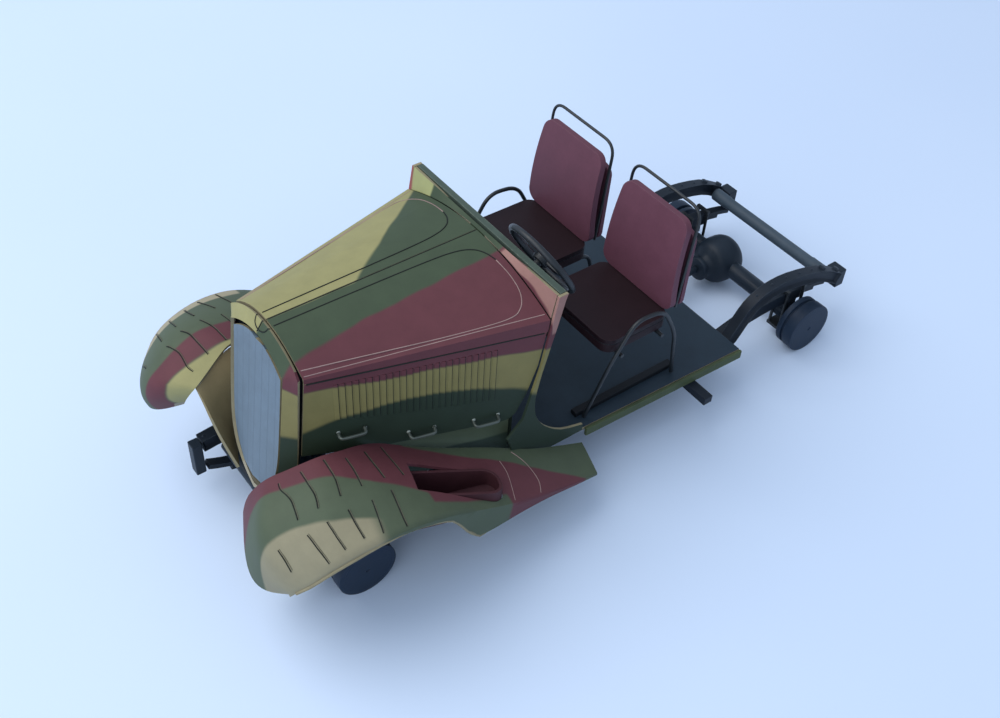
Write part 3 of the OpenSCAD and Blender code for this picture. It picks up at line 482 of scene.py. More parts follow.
# %% Table
TABLE_HALF = 3
bm = bmesh.new()
bmesh.ops.create_grid(bm, x_segments=1, y_segments=1, size=TABLE_HALF)
table = bpy.data.objects.new("table", bpy.data.meshes.new("table"))
bm.to_mesh(table.data)
bm.free()
scene.collection.objects.link(table)
table_sheet, tree, shader = fresh_material("pale_table_sheet")
shader.inputs["Roughness"].default_value = 0.7
tone = add(tree, "TexNoise", {"Vector": add(tree, "TexCoord").outputs["Object"], "Scale": 6.0}).outputs[0]
tree.links.new(mixed(tree, tone, srgb("#bdd0ec"), srgb("#c9daf2")), shader.inputs["Base Color"])
table.data.materials.append(table_sheet)
table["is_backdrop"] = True
print("table half width in m:", TABLE_HALF)

# %% [markdown]
# ## Telling the three faces of a card sheet apart
# A card part has a printed outside, a bare inside and a pale cut edge all round. The edge is the tell-tale of a paper
# model, so it is worth finding. From each face a ray goes back into the card: if it leaves again after one thickness
# the face is broad. If it doesn't, and at least two of the face's edges are sharp, or one of a triangle's, it is the
# cut edge. Painting the edges by hand would have to be redone for each part.

# %% Sort printed side, bare side and cut edge
TWO_LAYERS = 1.3


def sort_card(bm, core):
    """Gives faces that look away from core finish 0, those that look towards it 1, and cut edges 2."""
    solid = BVHTree.FromBMesh(bm)
    for face in bm.faces:
        middle = face.calc_center_median()
        far = solid.ray_cast(middle - 0.02 * face.normal, -face.normal)[3]
        corners = sum(edge.calc_face_angle(0) > radians(40) for edge in face.edges)
        if (far is None or far > TWO_LAYERS) and corners >= min(2, len(face.verts) - 2):
            face.material_index = 2
        else:
            face.material_index = 0 if (middle - Vector(core)).dot(face.normal) > 0 else 1
    return [sum(face.material_index == k for face in bm.faces) for k in range(3)]


SIDES = {"left": 1, "right": -1}
surfaces = {}
body_card = [body_print, bare_card, cut_edge]
print("faces of a sheet:", [coat.name for coat in body_card])

# %% [markdown]
# ## Hood halves, hood sides and the radiator shell
# The hood is two arched sheets hinged along the middle, with two flat sides below a folded belt line. The sheets are
# copies of the solids with their triangles paired into four-sided faces, so that one smoothing modifier can round the
# arch, and creases hold the cut edges and the fold. Modelling them again from curves would risk a gap to the solids.

# %% Hood and shell
for side in SIDES:
    bm = four_sided(copied(f"hood_top_{side}"))
    surfaces[f"hood_{side}"] = BVHTree.FromBMesh(bm)
    print("printed, bare and cut faces:", sort_card(bm, (0, 17, 30)))
    piece(bm, f"hood_half_{side}", "car", body_card, [f"hood_top_{side}"], levels=2)
    bm = copied(f"hood_side_{side}")
    surfaces[f"side_{side}"] = BVHTree.FromBMesh(bm)
    sort_card(bm, (0, 17, 30))
    piece(flat_faced(bm), f"hood_flank_{side}", "car", body_card,
          [f"hood_side_{side}"], edges=0.08)
bm = four_sided(copied("radiator_shell"))
surfaces["shell"] = BVHTree.FromBMesh(bm)
sort_card(bm, (0, -5, 30))
piece(bm, "radiator_shell_card", "car", body_card, ["radiator_shell"], levels=2)

# %% [markdown]
# ## The radiator's face
# The face is one sheet of blue card with an upright fold in the middle. The smoothing would melt that fold, because it
# turns by only a few degrees, so the edges on the middle plane get a crease of their own. Its top and foot are drawn
# out a little to fill the arch of the shell, and the dark block behind it reaches back so that no light comes round it.

# %% Radiator face
bm = four_sided(copied("radiator_face"))
crease = bm.edges.layers.float["crease_edge"]
folded = [edge for edge in bm.edges if all(abs(vert.co.x) < 0.05 for vert in edge.verts)]
for edge in folded:
    edge[crease] = 1
sort_card(bm, (0, 40, 30))
upper, lower = 40, 20
for vert in bm.verts:
    if vert.co.z > upper:
        vert.co.z += 0.15 * (vert.co.z - upper)
    elif vert.co.z < lower:
        vert.co.z -= 0.16 * (lower - vert.co.z)
piece(bm, "radiator_grille_card", "car", [radiator_card, radiator_card, cut_edge],
      ["radiator_face"], levels=2, angle=30)
bm = flat_faced(copied("radiator_core"))
rear = max(vert.co.y for vert in bm.verts)
for vert in bm.verts:
    if vert.co.y > rear - 0.3:
        vert.co.y += 2.6
piece(bm, "radiator_block", "car", [runner_paint], ["radiator_core"], edges=0.1)
print("edges on the radiator's fold:", len(folded))

# %% [markdown]
# ## Cowl, dash frame and bulkhead
# Behind the hood the body flares out to a flat frame where a windscreen would stand. The flare is a narrow curved sheet
# and takes the camouflage; the frame is a painted strip with rubbed edges; the bulkhead closes the footwell. The lower
# front of each side is drawn forward under the hood's flank, and its front edge is printed over, so it doesn't shine.

# %% Cowl
bm = four_sided(copied("cowl_top"))
sort_card(bm, (0, 38, 30))
piece(bm, "cowl_flare", "car", body_card, ["cowl_top"], levels=2)
front_y, flank_z, reach = 35.5, 22, 3.2
for side in SIDES:
    bm = flat_faced(copied(f"cowl_side_{side}"))
    for vert in bm.verts:
        if vert.co.y < front_y and vert.co.z < flank_z:
            vert.co.y -= reach
    bmesh.ops.triangulate(bm, faces=bm.faces)
    sort_card(bm, (0, 38, 30))
    for face in bm.faces:
        if face.material_index == 2 and face.normal.y < -0.5:
            face.material_index = 0
    piece(flat_faced(bm), f"cowl_cheek_{side}", "car", body_card,
          [f"cowl_side_{side}"], edges=0.08)
piece(flat_faced(copied("cowl_frame")), "dash_frame", "car", [frame_strip_paint],
      ["cowl_frame"], edges=0.12)
bm = flat_faced(copied("bulkhead"))
for face in bm.faces:
    face.material_index = 0 if face.normal.y > 0.5 else 1
piece(bm, "footwell_wall", "car", [chassis_paint, body_print], ["bulkhead"], edges=0.1)

# %% [markdown]
# ## Front fenders, their aprons and the spare wheel wells
# Each fender is one sheet with a crown over the drum, a long tail and a turned-down skirt, cut open for the well of a
# side-mounted spare wheel. The printed side looks up and out, the bare side down. The cuts round the well and along
# the outer edge are painted over, as they show no pale card. The apron's upper front edge is drawn up to the fender,
# a little past the nearest point of it, which closes the gap between the two sheets.

# %% Fenders, aprons and wells
OPENING_X, OPENING_Y = (20, 31.3), (4, 28)
APRON_FRONT, WIDEST_GAP, OVERLAP = 4, 2.5, 1.1
for side, sign in SIDES.items():
    print_of_side = left_fender_print if sign > 0 else right_fender_print
    bm = four_sided(copied(f"front_fender_{side}"))
    surfaces[f"fender_{side}"] = BVHTree.FromBMesh(bm)
    print("printed, bare and cut faces:", sort_card(bm, (sign * 18, 6, 5)))
    for face in bm.faces:
        middle = face.calc_center_median()
        opening = OPENING_X[0] < abs(middle.x) < OPENING_X[1] and OPENING_Y[0] < middle.y < OPENING_Y[1]
        if face.material_index == 2 and (opening or sign * face.normal.x > 0.5):
            face.material_index = 0
    piece(bm, f"fender_card_{side}", "car", [print_of_side, bare_card, cut_edge],
          [f"front_fender_{side}"], levels=1)
    bm = four_sided(copied(f"fender_apron_{side}"))
    for vert in bm.verts:
        near, _, _, gap = surfaces[f"fender_{side}"].find_nearest(vert.co)
        if vert.co.y < APRON_FRONT and gap < WIDEST_GAP:
            vert.co += OVERLAP * (near - vert.co)
    sort_card(bm, (sign * 60, 6, 20))
    piece(bm, f"apron_card_{side}", "car", [apron_print, apron_print, cut_edge],
          [f"fender_apron_{side}"], levels=2)
    piece(flat_faced(copied(f"spare_wheel_well_{side}")), f"wheel_well_card_{side}", "car",
          [well_print], [f"spare_wheel_well_{side}"], edges=0.1)

# %% [markdown]
# ## Lines laid on the card
# Printed and scored lines, and dark and pale lines painted as the shadow and highlight of gaps, cuts and creases,
# follow a curved sheet. A line starts as a few points, a smooth curve goes through them, and each point is dropped onto
# the sheet by a ray. A round thread half sunk along it gives a line with its own light and shade. Drawing lines in the
# material would be flat, and cutting them into the sheet would spoil its smooth faces.

# %% Threads on a surface
FAR = 70
DOWN = (0, 0, -1)


def smooth_path(points, steps=6):
    """A smooth curve through points."""
    points = [Vector(p) for p in points]
    path = []
    for i in range(len(points) - 1):
        p0, p1 = points[max(i - 1, 0)], points[i]
        p2, p3 = points[i + 1], points[min(i + 2, len(points) - 1)]
        for k in range(steps):
            t = k / steps
            path.append(0.5 * (2 * p1 + (p2 - p0) * t + (2 * p0 - 5 * p1 + 4 * p2 - p3) * t * t
                               + (3 * p1 - p0 - 3 * p2 + p3) * t * t * t))
    return path + [points[-1]]


def laid(surface, points, along, steps=6, lift=0.0):
    """A smooth path dropped onto a surface along a direction."""
    along = Vector(along)
    path = []
    for point in smooth_path(points, steps):
        hit, normal, _, _ = surface.ray_cast(point - FAR * along, along)
        if hit is not None:
            path.append(hit + lift * normal)
    return path


def threads(name, paths, radius, finish, stands_for=(), roundness=1):
    """Round threads or wires along paths, as one piece."""
    curve = bpy.data.curves.new(name, "CURVE")
    curve.dimensions, curve.bevel_depth, curve.bevel_resolution = "3D", radius, roundness
    curve.use_fill_caps = True
    for path in paths:
        if len(path) < 2:
            continue
        spline = curve.splines.new("POLY")
        spline.points.add(len(path) - 1)
        for point, place in zip(spline.points, path):
            point.co = (*place, 1)
    holder = bpy.data.objects.new(name, curve)
    bm = bmesh.new()
    bm.from_mesh(bpy.data.meshes.new_from_object(holder))
    bpy.data.objects.remove(holder)
    bmesh.ops.remove_doubles(bm, verts=bm.verts, dist=0.001)
    bmesh.ops.recalc_face_normals(bm, faces=bm.faces)
    return piece(bm, name, "car", [finish], stands_for, angle=60)


def on_side(sign, points, back=0.0):
    """(x, y) points given for the left side, as points of either side."""
    return [(sign * x, y + back, 0) for x, y in points]


print("a straight line of three points, in steps:", len(smooth_path([(0, 0, 0), (1, 0, 0), (2, 0, 0)])))

# %% [markdown]
# ## The hood's panel, hinge and belt lines
# Each half of the hood carries the outline of a raised panel: a dark line on its inside, partly ink and partly painted
# shade of its groove, and a pale line on its outside that is a painted highlight. A pale line along the belt is a
# painted highlight of the crease, and the black line just under it is painted shadow of the gap between the hood's
# flange and its flank. A loop of thread and its end lie on the shell at the front of the hinge.

# %% Hood lines


def hood_half(y):
    """Half of the hood's width, which grows from the shell to the cowl."""
    at_shell, at_cowl, shell_y, length = 11.3, 21.9, -3.4, 41.5
    return at_shell + (at_cowl - at_shell) * (y - shell_y) / length


dark_lines, highlight_paths, belt_highlight_paths = [], [], []
for side, sign in SIDES.items():
    hood = surfaces[f"hood_{side}"]
    inner = [(1.9, -3.1), (2.1, 12), (2.4, 26), (2.9, 31.5), (4.0, 34.4), (5.8, 35.9), (8, 36.6)]
    outer = [(8, 36.6), (12, 36.8), (15.6, 36.3), (17.9, 34.6), (18.4, 31.5), (16.4, 22), (13.4, 10), (10.6, -1),
             (10.1, -3.1)]
    belt = [(hood_half(y) - inset, y) for y, inset in ((-3.1, 0.4), (10, 0.7), (25, 1.0), (37.8, 1.2))]
    dark_lines.append(laid(hood, on_side(sign, inner), DOWN))
    highlight_paths.append(laid(hood, on_side(sign, outer), DOWN, lift=-0.03))
    belt_highlight_paths.append(laid(hood, on_side(sign, belt), DOWN, lift=-0.03))
dark_lines.append(laid(surfaces["hood_left"], [(0.12, y, 0) for y in (-3.2, 17, 37.9)], DOWN, lift=-0.05))
loop = [(2.1, -3.9), (1.5, -4.7), (0, -5.0), (-1.5, -4.7), (-2.1, -3.9)]
dark_lines.append(laid(surfaces["shell"], [(x, y, 0) for x, y in loop], DOWN))
dark_lines.append(laid(surfaces["shell"], [(0, y, 0) for y in (-3.95, -4.6, -5.2)], DOWN))
threads("hood_panel_lines", dark_lines, 0.12, ink_line)
# The pale panel and belt lines are painted highlights.
threads("hood_panel_worn_lines", highlight_paths, 0.1, worn_line)
threads("belt_worn_lines", belt_highlight_paths, 0.09, worn_line)
# The black line under the belt is painted shadow of the gap between the hood's flange and its flank.
belt_gap_shadow_paths = [laid(surfaces[f"side_{side}"], [(0, y, z) for y, z in ((-3.0, 45.1), (17, 44.35), (37.2, 43.55))],
                   (-sign, 0, 0)) for side, sign in SIDES.items()]
threads("belt_fold_lines", belt_gap_shadow_paths, 0.16, ink_line)
print("dark and pale lines on the hood:", len(dark_lines), len(highlight_paths) + len(belt_highlight_paths))

# %% [markdown]
# ## Cooling louvres
# Each flank has some twenty-five upright louvres, taller towards the rear. On card they are cut on one side and pressed
# out a little, so each is a low wedge, with a dark line beside it that is painted shadow of the cut. A wedge starts as
# a cube with one upright edge pressed in; the same small shape is repeated at even steps over 27 mm. The row's top
# follows the belt, and its foot drops along a shallow curve.

# %% Louvres


def on_flank(side, y, z):
    """The point of a flank beside (y, z), and the way that it faces there."""
    sign = SIDES[side]
    return surfaces[f"side_{side}"].ray_cast(Vector((sign * FAR, y, z)), Vector((-sign, 0, 0)))[:2]


LOUVRES = 25
LOUVRE_WIDTH, LOUVRE_RISE, SQUEEZED, SHADOW_LINE_AHEAD = 0.78, 0.34, 0.15, 0.42
for side, sign in SIDES.items():
    bm = bmesh.new()
    cuts = []
    for k in range(LOUVRES):
        t = k / (LOUVRES - 1)
        y = 1.5 + 27 * t
        top, low = 43.5 - 1.2 * t, 35.3 - 6.6 * t + 1.6 * t * t
        upper, normal = on_flank(side, y, top)
        lower = on_flank(side, y, low)[0]
        if upper is None or lower is None:
            continue
        rise = (upper - lower).normalized()
        middle = (upper + lower) / 2
        ahead = rise.cross(normal) * sign
        turn = Matrix((ahead, normal, rise)).transposed().to_4x4()
        wedge = bmesh.ops.create_cube(bm, size=1)["verts"]
        bmesh.ops.scale(bm, vec=(LOUVRE_WIDTH, LOUVRE_RISE, (upper - lower).length), verts=wedge)
        thin = [v for v in wedge if v.co.x < 0 and v.co.y > 0]
        bmesh.ops.translate(bm, vec=(0, -SQUEEZED, 0), verts=thin)
        bmesh.ops.transform(bm, matrix=Matrix.Translation(middle + 0.02 * normal) @ turn, verts=wedge)
        cuts.append([lower + SHADOW_LINE_AHEAD * ahead, upper + SHADOW_LINE_AHEAD * ahead])
    bmesh.ops.recalc_face_normals(bm, faces=bm.faces)
    piece(bm, f"louvres_{side}", "car", [body_print], edges=0.05)
    # The dark line beside each louvre is painted shadow of its cut.
    threads(f"louvre_cuts_{side}", cuts, 0.1, ink_line)
    print("louvres:", len(cuts))

# %% [markdown]
# ## Slits and rims of the fenders
# The fenders carry rows of short slits across their crown. Each slit is a dark line of painted shadow, with a raised
# lip behind it whose pale colour is a painted highlight. The pale seam lines on the tail take the same
# painted-highlight finish. The fenders' outer edge ends in a pale rim from behind the nose to the skirt's tip. The
# right fender's slits are the left ones mirrored.

# %% Fender slits and rims
slits = [
    [(15.4, -11.6), (17, -12), (20.1, -11.9), (23.7, -12.7)], [(16.4, -8), (19.4, -8.4), (22.4, -8.7), (24.5, -9.4)],
    [(17, -4), (19.4, -4.2), (21.7, -4.5), (24.7, -5.4)], [(17.9, -0.4), (21, -0.7), (24.5, -1.3)],
    [(17, 3.7), (20, 3.4), (24.1, 3.2)], [(16, 7.5), (19, 7.2), (24.1, 6.9)],
    [(24.5, -17.0), (26, -16.8), (27.7, -16.6)], [(26.4, -12.6), (29, -12.2), (31.4, -11.7)],
    [(27, -9.3), (29.4, -9.1), (31.6, -8.8)], [(27.2, -5.5), (29.4, -5.6), (31.9, -5.5)],
    [(27.4, -1.2), (30, -1.8), (32.7, -2.4)], [(26.8, 2.8), (31.3, 1.9), (33.4, 1.6)]]
seams = [[(24, 27.5), (27.1, 27.1), (31.9, 25.2)], [(22.6, 31.2), (25.4, 32.3), (29.3, 32.5), (31.6, 31.4)]]
rim = [(29.1, -16.8, 20.2), (30.7, -15, 22.4), (32.2, -11.9, 25.2), (33.1, -8.4, 26.9), (33.6, -3.3, 28),
       (33.7, 2, 27.8), (33.7, 6.4, 26.4), (33.2, 10.6, 23.6), (32.4, 13.8, 18.4), (31.9, 17.6, 12.9),
       (31.7, 20.4, 13.7)]
for side, sign in SIDES.items():
    fender = surfaces[f"fender_{side}"]
    cuts = [laid(fender, on_side(sign, slit), DOWN) for slit in slits]
    lips = [laid(fender, on_side(sign, slit, 0.22), DOWN, lift=-0.02) for slit in slits]
    joins = [laid(fender, on_side(sign, seam), DOWN, lift=-0.04) for seam in seams]
    # Dark slit lines are painted shadow; the pale lips and tail seams are painted highlights.
    threads(f"fender_slits_{side}", cuts, 0.1, ink_line)
    threads(f"fender_slit_lips_{side}", lips, 0.06, lip_highlight_line)
    threads(f"fender_tail_seams_{side}", joins, 0.1, worn_line)
    edge = [fender.find_nearest(Vector((sign * x, y, z)))[0] for x, y, z in smooth_path(rim, 4)]
    threads(f"fender_rim_{side}", [edge], 0.3, cut_edge)
    print("slits on the", side, "fender:", len(cuts))

# %% [markdown]
# ## Frame rails
# The two rails are card channels: an upright web between a top and a bottom flange, kicked up over the rear axle. The
# copy of each solid rail gets its channel by insetting its outer side face by the flange's thickness and pressing the
# new face in. Rows of small rivets along the flanges come next.

# %% Rails
FLANGE, WEB_DEPTH = 0.55, 0.75
rail_paths = {}
for side in SIDES:
    bm = flat_faced(copied(f"frame_rail_{side}"))
    webs = [face for face in bm.faces if abs(face.normal.x) > 0.9 and face.calc_area() > 60]
    for web in webs:
        bmesh.ops.inset_region(bm, faces=[web], thickness=FLANGE, depth=0, use_even_offset=True)
        bmesh.ops.translate(bm, vec=-WEB_DEPTH * web.normal, verts=web.verts)
    print("webs pressed in:", len(webs))
    piece(bm, f"rail_channel_{side}", "car", [chassis_paint], [f"frame_rail_{side}"], edges=0.1)
    rail_paths[side] = BVHTree.FromBMesh(copied(f"frame_rail_{side}"))

# %% [markdown]
# ## Rivets, bolt heads and glue drops
# Small round heads are turned shapes: a few points of a profile spun about the head's axis. Hexagon heads are cones of
# six sides. Each is made once at the origin and copied by a matrix to its places, and all heads of a kind are one
# piece. One separate object for each rivet would only make the model slow.

# %% Heads


def stamped(name, template, places, finish):
    """Copies of one small shape at (point, direction) places, as one piece."""
    bm = bmesh.new()
    for point, out in places:
        turn = Vector(out).to_track_quat("Z", "Y").to_matrix().to_4x4()
        bmesh.ops.transform(bm, matrix=Matrix.Translation(point) @ turn, verts=join(bm, template))
    return piece(bm, name, "car", [finish])


def closed_up(bm):
    """Merges the ends and poles of a spun shape and turns its faces outwards."""
    bmesh.ops.remove_doubles(bm, verts=bm.verts, dist=0.001)
    bmesh.ops.recalc_face_normals(bm, faces=bm.faces)


def turned(profile, steps=24):
    """A closed shape of (radius, height) points spun about z."""
    bm = bmesh.new()
    verts = [bm.verts.new((r, 0, z)) for r, z in profile]
    lines = [bm.edges.new(pair) for pair in zip(verts, verts[1:])]
    bmesh.ops.spin(bm, geom=verts + lines, cent=(0, 0, 0), axis=(0, 0, 1), angle=2 * pi, steps=steps,
                   use_merge=True)
    closed_up(bm)
    return bm


rivet = turned([(0, 0.2), (0.16, 0.17), (0.27, 0.08), (0.3, -0.1)], steps=10)
drop = turned([(0, 0.22), (0.2, 0.18), (0.34, 0.08), (0.42, -0.1)], steps=12)


def hexagon(radius, height):
    """A bolt head that stands on its place, with its upper corners eased."""
    bm = bmesh.new()
    bmesh.ops.create_cone(bm, cap_ends=True, segments=6, radius1=radius, radius2=radius, depth=height)
    bmesh.ops.translate(bm, vec=(0, 0, height / 2), verts=bm.verts)
    top = [edge for edge in bm.edges if all(v.co.z > 0.9 * height for v in edge.verts)]
    bmesh.ops.bevel(bm, geom=top, offset=0.12 * radius, affect="EDGES", segments=2, profile=0.5, material=-1)
    return bm


def on_rail(side, x, y):
    """The top of a rail at (x, y), and the way that it faces there."""
    return rail_paths[side].ray_cast(Vector((SIDES[side] * x, y, FAR)), Vector(DOWN))[:2]


RIVET_STEP = 4.1
front_x, rear_x, front_end, rear_end = 15.2, 18.9, 15, wheelbase + 13.7
rail_rivets = []
for side in SIDES:
    y = -12
    while y < wheelbase + 9:
        hit, normal = on_rail(side, front_x + (y + front_end) * (rear_x - front_x) / (rear_end + front_end), y)
        if hit is not None and normal.z > 0.6:
            rail_rivets.append((hit, normal))
        y += RIVET_STEP
stamped("rail_rivets", rivet, rail_rivets, axle_paint)
print("rivets:", len(rail_rivets))

# %% [markdown]
# ## Cross members, outriggers, hangers and springs
# These are plain card blocks and strips. What makes them read as parts is a small rounding on every edge, which
# catches the light. Copies of the solids with a bevel modifier do this in one line each. Only the blocks that hold the
# springs' ends are also slimmed, each about its own middle, so the shape is first taken apart into its shells.

# %% Small chassis blocks


def islands(bm):
    """The separate shells of a mesh, as lists of their points."""
    left, shells = set(bm.verts), []
    while left:
        shell, edge_of_shell = set(), [left.pop()]
        while edge_of_shell:
            vert = edge_of_shell.pop()
            shell.add(vert)
            fresh = [edge.other_vert(vert) for edge in vert.link_edges if edge.other_vert(vert) in left]
            left.difference_update(fresh)
            edge_of_shell += fresh
        shells.append(list(shell))
    return shells


REAR_SLIM, FRONT_SLIM = (0.62, 1, 0.74), (0.86, 1, 1)
blocks = [("front_crossmember", axle_paint, 0.12), ("frame_crossbars", chassis_paint, 0.15),
          ("outrigger_bars", chassis_paint, 0.15), ("front_spring_left", chassis_paint, 0.1),
          ("front_spring_right", chassis_paint, 0.1), ("rear_spring_left", chassis_paint, 0.1),
          ("rear_spring_right", chassis_paint, 0.1), ("spring_shackles", axle_paint, 0.2),
          ("transfer_case", chassis_paint, 0.4), ("floor_edges", strip_paint, 0.15),
          ("floor_runners", runner_paint, 0.15), ("front_propeller_shaft", axle_paint, 0.1),
          ("rear_propeller_shaft", axle_paint, 0.1)]
for node, finish, edges in blocks:
    bm = flat_faced(copied(node))
    if node == "spring_shackles":
        for island in islands(bm):
            middle = sum((v.co for v in island), Vector()) / len(island)
            slim = REAR_SLIM if middle.y > 0 else FRONT_SLIM
            bmesh.ops.scale(bm, vec=slim, space=Matrix.Translation(-middle), verts=island)
    piece(bm, f"{node}_card", "car", [finish], [node], edges=edges)
piece(flat_faced(copied("spring_bolts")), "spring_staples", "car", [black_wire], ["spring_bolts"],
      edges=0.1)
for side in SIDES:
    piece(flat_faced(copied(f"front_knuckle_{side}")), f"knuckle_card_{side}", f"{side}_front_knuckle",
          [axle_paint], [f"front_knuckle_{side}"], edges=0.15)
print("small chassis parts:", len(blocks) + 1 + len(SIDES))

# %% [markdown]
# ## Rear cross tube
# A rolled paper tube joins the rails' tails. A thin collar of paper is wound round each end, and a bolt head stands on
# the rail before and behind it.

# %% Rear cross tube
low, high = [1000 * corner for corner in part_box("rear_cross_tube")]
tube_y, tube_z, reach = (low.y + high.y) / 2 - 1000 * front_axle_y, (low.z + high.z) / 2, high.x
wall = (high.z - low.z) / 2
paper, collar, eased = wall - 0.12, 13, 0.2
profile = [(0, -reach), (wall - eased, -reach), (wall, -reach + eased), (wall, -collar - 0.2), (paper, -collar),
           (paper, collar), (wall, collar + 0.2), (wall, reach - eased), (wall - eased, reach), (0, reach)]
bm = turned(profile, steps=40)
set_down(bm, (0, tube_y, tube_z), pi / 2, "Y")
piece(bm, "rolled_paper_tube", "car", [tube_paint], ["rear_cross_tube"])
heads = []
for side in SIDES:
    for y in (tube_y - 3.3, tube_y + 1.9):
        hit, normal = on_rail(side, 18.6, y)
        if hit is not None:
            heads.append((hit, normal))
stamped("tail_bolt_heads", hexagon(0.75, 0.55), heads, axle_paint)
print("tube from", round(-reach, 2), "to", round(reach, 2), "bolt heads:", len(heads))

# %% [markdown]
# ## Axles with round differential housings
# Each axle is a tube with a round housing off its middle. The solid model has a stepped stack of discs there, which is
# enough for collisions. The real housing is a smooth dome with a nose for the pinion, so the stack is taken out of the
# copy and a turned shape takes its place: one profile from the domed cover over the belly to the nose flange.

# %% Axles
axle_z = 1000 * joints["spin_front_left"]["pos_m"][2]
housing_x, belly, half, tube_r = -6.0, 5.4, 4.6, 2.1
cover = [(belly * (1 - (abs(t) / half) ** 3) ** (1 / 3), t) for t in
         [-half, -4.45, -4.2, -3.8, -3.2, -2.4, -1.5, -0.4, 0.4, 1.5, 2.4, 3.0, 3.6]]
nose_part = [(3.2, 4.1), (2.6, 4.6), (2.2, 5.4), (2.1, 5.9), (2.75, 6.0), (2.85, 6.2), (2.85, 6.9), (2.7, 7.05),
             (1.2, 7.1), (0, 7.1)]
rivets_r, rivets_y, splay = 4.1, 3.35, 0.35
for node, y, nose in (("front_axle", 0.0, 1), ("rear_axle", wheelbase, -1)):
    bm = flat_faced(copied(node))
    stack = [v for v in bm.verts if abs(v.co.x - housing_x) < 5.5
             and ((v.co.y - y) ** 2 + (v.co.z - axle_z) ** 2) ** 0.5 > tube_r]
    bmesh.ops.delete(bm, geom=stack, context="VERTS")
    dome = turned(cover + nose_part, steps=48)
    set_down(dome, (housing_x, y, axle_z), -nose * pi / 2)
    join(bm, dome)
    piece(bm, f"{node}_card", "car", [axle_paint], [node], angle=50)
    ring = []
    for a in [2 * pi * k / 10 for k in range(10)]:
        place = Vector((housing_x + rivets_r * cos(a), y - nose * rivets_y, axle_z + rivets_r * sin(a)))
        ring.append((place, (splay * cos(a), -nose, splay * sin(a))))
    stamped(f"{node}_cover_rivets", rivet, ring, axle_paint)
    print(node, "stack points taken out:", len(stack))

# %% [markdown]
# ## Hub drums
# A drum is discs of card glued in a stack and turned: a thick outer disc, a groove and a thin flange behind. It is
# spun from one profile, bore included, and its sharp circles are bevelled. The small dent in the middle is where the
# compass point stood.

# %% Drums
face_x = 1000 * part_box("hub_drum_front_left")[1].x
profile = [(0, -0.25), (0.35, -0.2), (0.5, 0), (4.7, 0), (4.8, -0.06), (4.9, 0), (5.9, 0), (5.9, -2.5), (5.2, -2.5),
           (5.2, -3.2), (5.8, -3.2), (5.8, -4.4), (1.25, -4.4), (1.25, -0.8), (0, -0.8)]
for end, y in (("front", 0.0), ("rear", wheelbase)):
    for side, sign in SIDES.items():
        bm = turned(profile, steps=64)
        rims = [edge for edge in bm.edges if len(edge.link_faces) == 2 and edge.calc_face_angle(0) > radians(60)]
        bmesh.ops.bevel(bm, geom=rims, offset=0.13, affect="EDGES", segments=3, profile=0.5, material=-1)
        set_down(bm, (sign * face_x, y, axle_z), sign * pi / 2, "Y")
        piece(bm, f"drum_card_{end}_{side}", f"{side}_{end}_drum", [drum_paint],
              [f"hub_drum_{end}_{side}"], angle=35)
print("drum outer face at x =", round(face_x, 2))

# %% [markdown]
# ## Floor
# The floor is one sheet of painted card whose cut edge shows at the back. An olive strip is glued along each side.

# %% Floor
bm = flat_faced(copied("floor_panel"))
for face in bm.faces:
    face.material_index = 0 if abs(face.normal.z) > 0.5 else 1
piece(bm, "floor_card", "car", [floor_paint, cut_edge], ["floor_panel"], edges=0.1)

# %% [markdown]
# ## Seats of folded card
# Each seat is a flat cushion box and a back made of two boards that hold the wire loop between them. They are card and
# not padding, so they stay flat, with rounded corners and a thin dark line where two layers meet. The line is a cut
# round the slab's edge: a plane splits the side faces, and the new edges are bevelled and pressed in.

# %% Seats


def cut_across(bm, point, normal):
    """Splits a shape's faces along a plane."""
    return bmesh.ops.bisect_plane(bm, geom=bm.verts[:] + bm.edges[:] + bm.faces[:], plane_co=point, plane_no=normal)


def seam_round(bm, point, normal, width=0.16, depth=0.12):
    """Cuts a narrow sunk line round a slab where a plane crosses it, and gives it finish 1."""
    loop = [item for item in cut_across(bm, point, normal)["geom_cut"] if isinstance(item, bmesh.types.BMEdge)]
    made = bmesh.ops.bevel(bm, geom=loop, offset=width / 2, affect="EDGES", segments=2, profile=0.5, material=-1)
    for face in made["faces"]:
        face.material_index = 1
    middle = [v for v in made["verts"] if abs((v.co - Vector(point)).dot(Vector(normal))) < 0.01]
    moves = {v: Vector(v.normal) for v in middle}
    for vert, out in moves.items():
        vert.co -= depth * out
    return len(loop)


for side in SIDES:
    bm = flat_faced(copied(f"seat_cushion_{side}"))
    top = max(v.co.z for v in bm.verts)
    count = seam_round(bm, (0, 0, top - 1.1), (0, 0, 1))
    piece(bm, f"seat_box_{side}", "car", [cushion_paint_and_shade, runner_paint], [f"seat_cushion_{side}"],
          edges=0.3, angle=35)
    print("edges in the cushion's seam:", count)

# %% [markdown]
# ## Seat backs
# The front board of a back is bowed: its middle stands a millimetre forward, so light runs down it from bright to dark.
# The board behind the wire is shorter and hides behind the front one. Planes cut the copy into level strips, and the
# strips are then pushed forward along a parabola, which keeps the outline and the rounded corners of the solid.

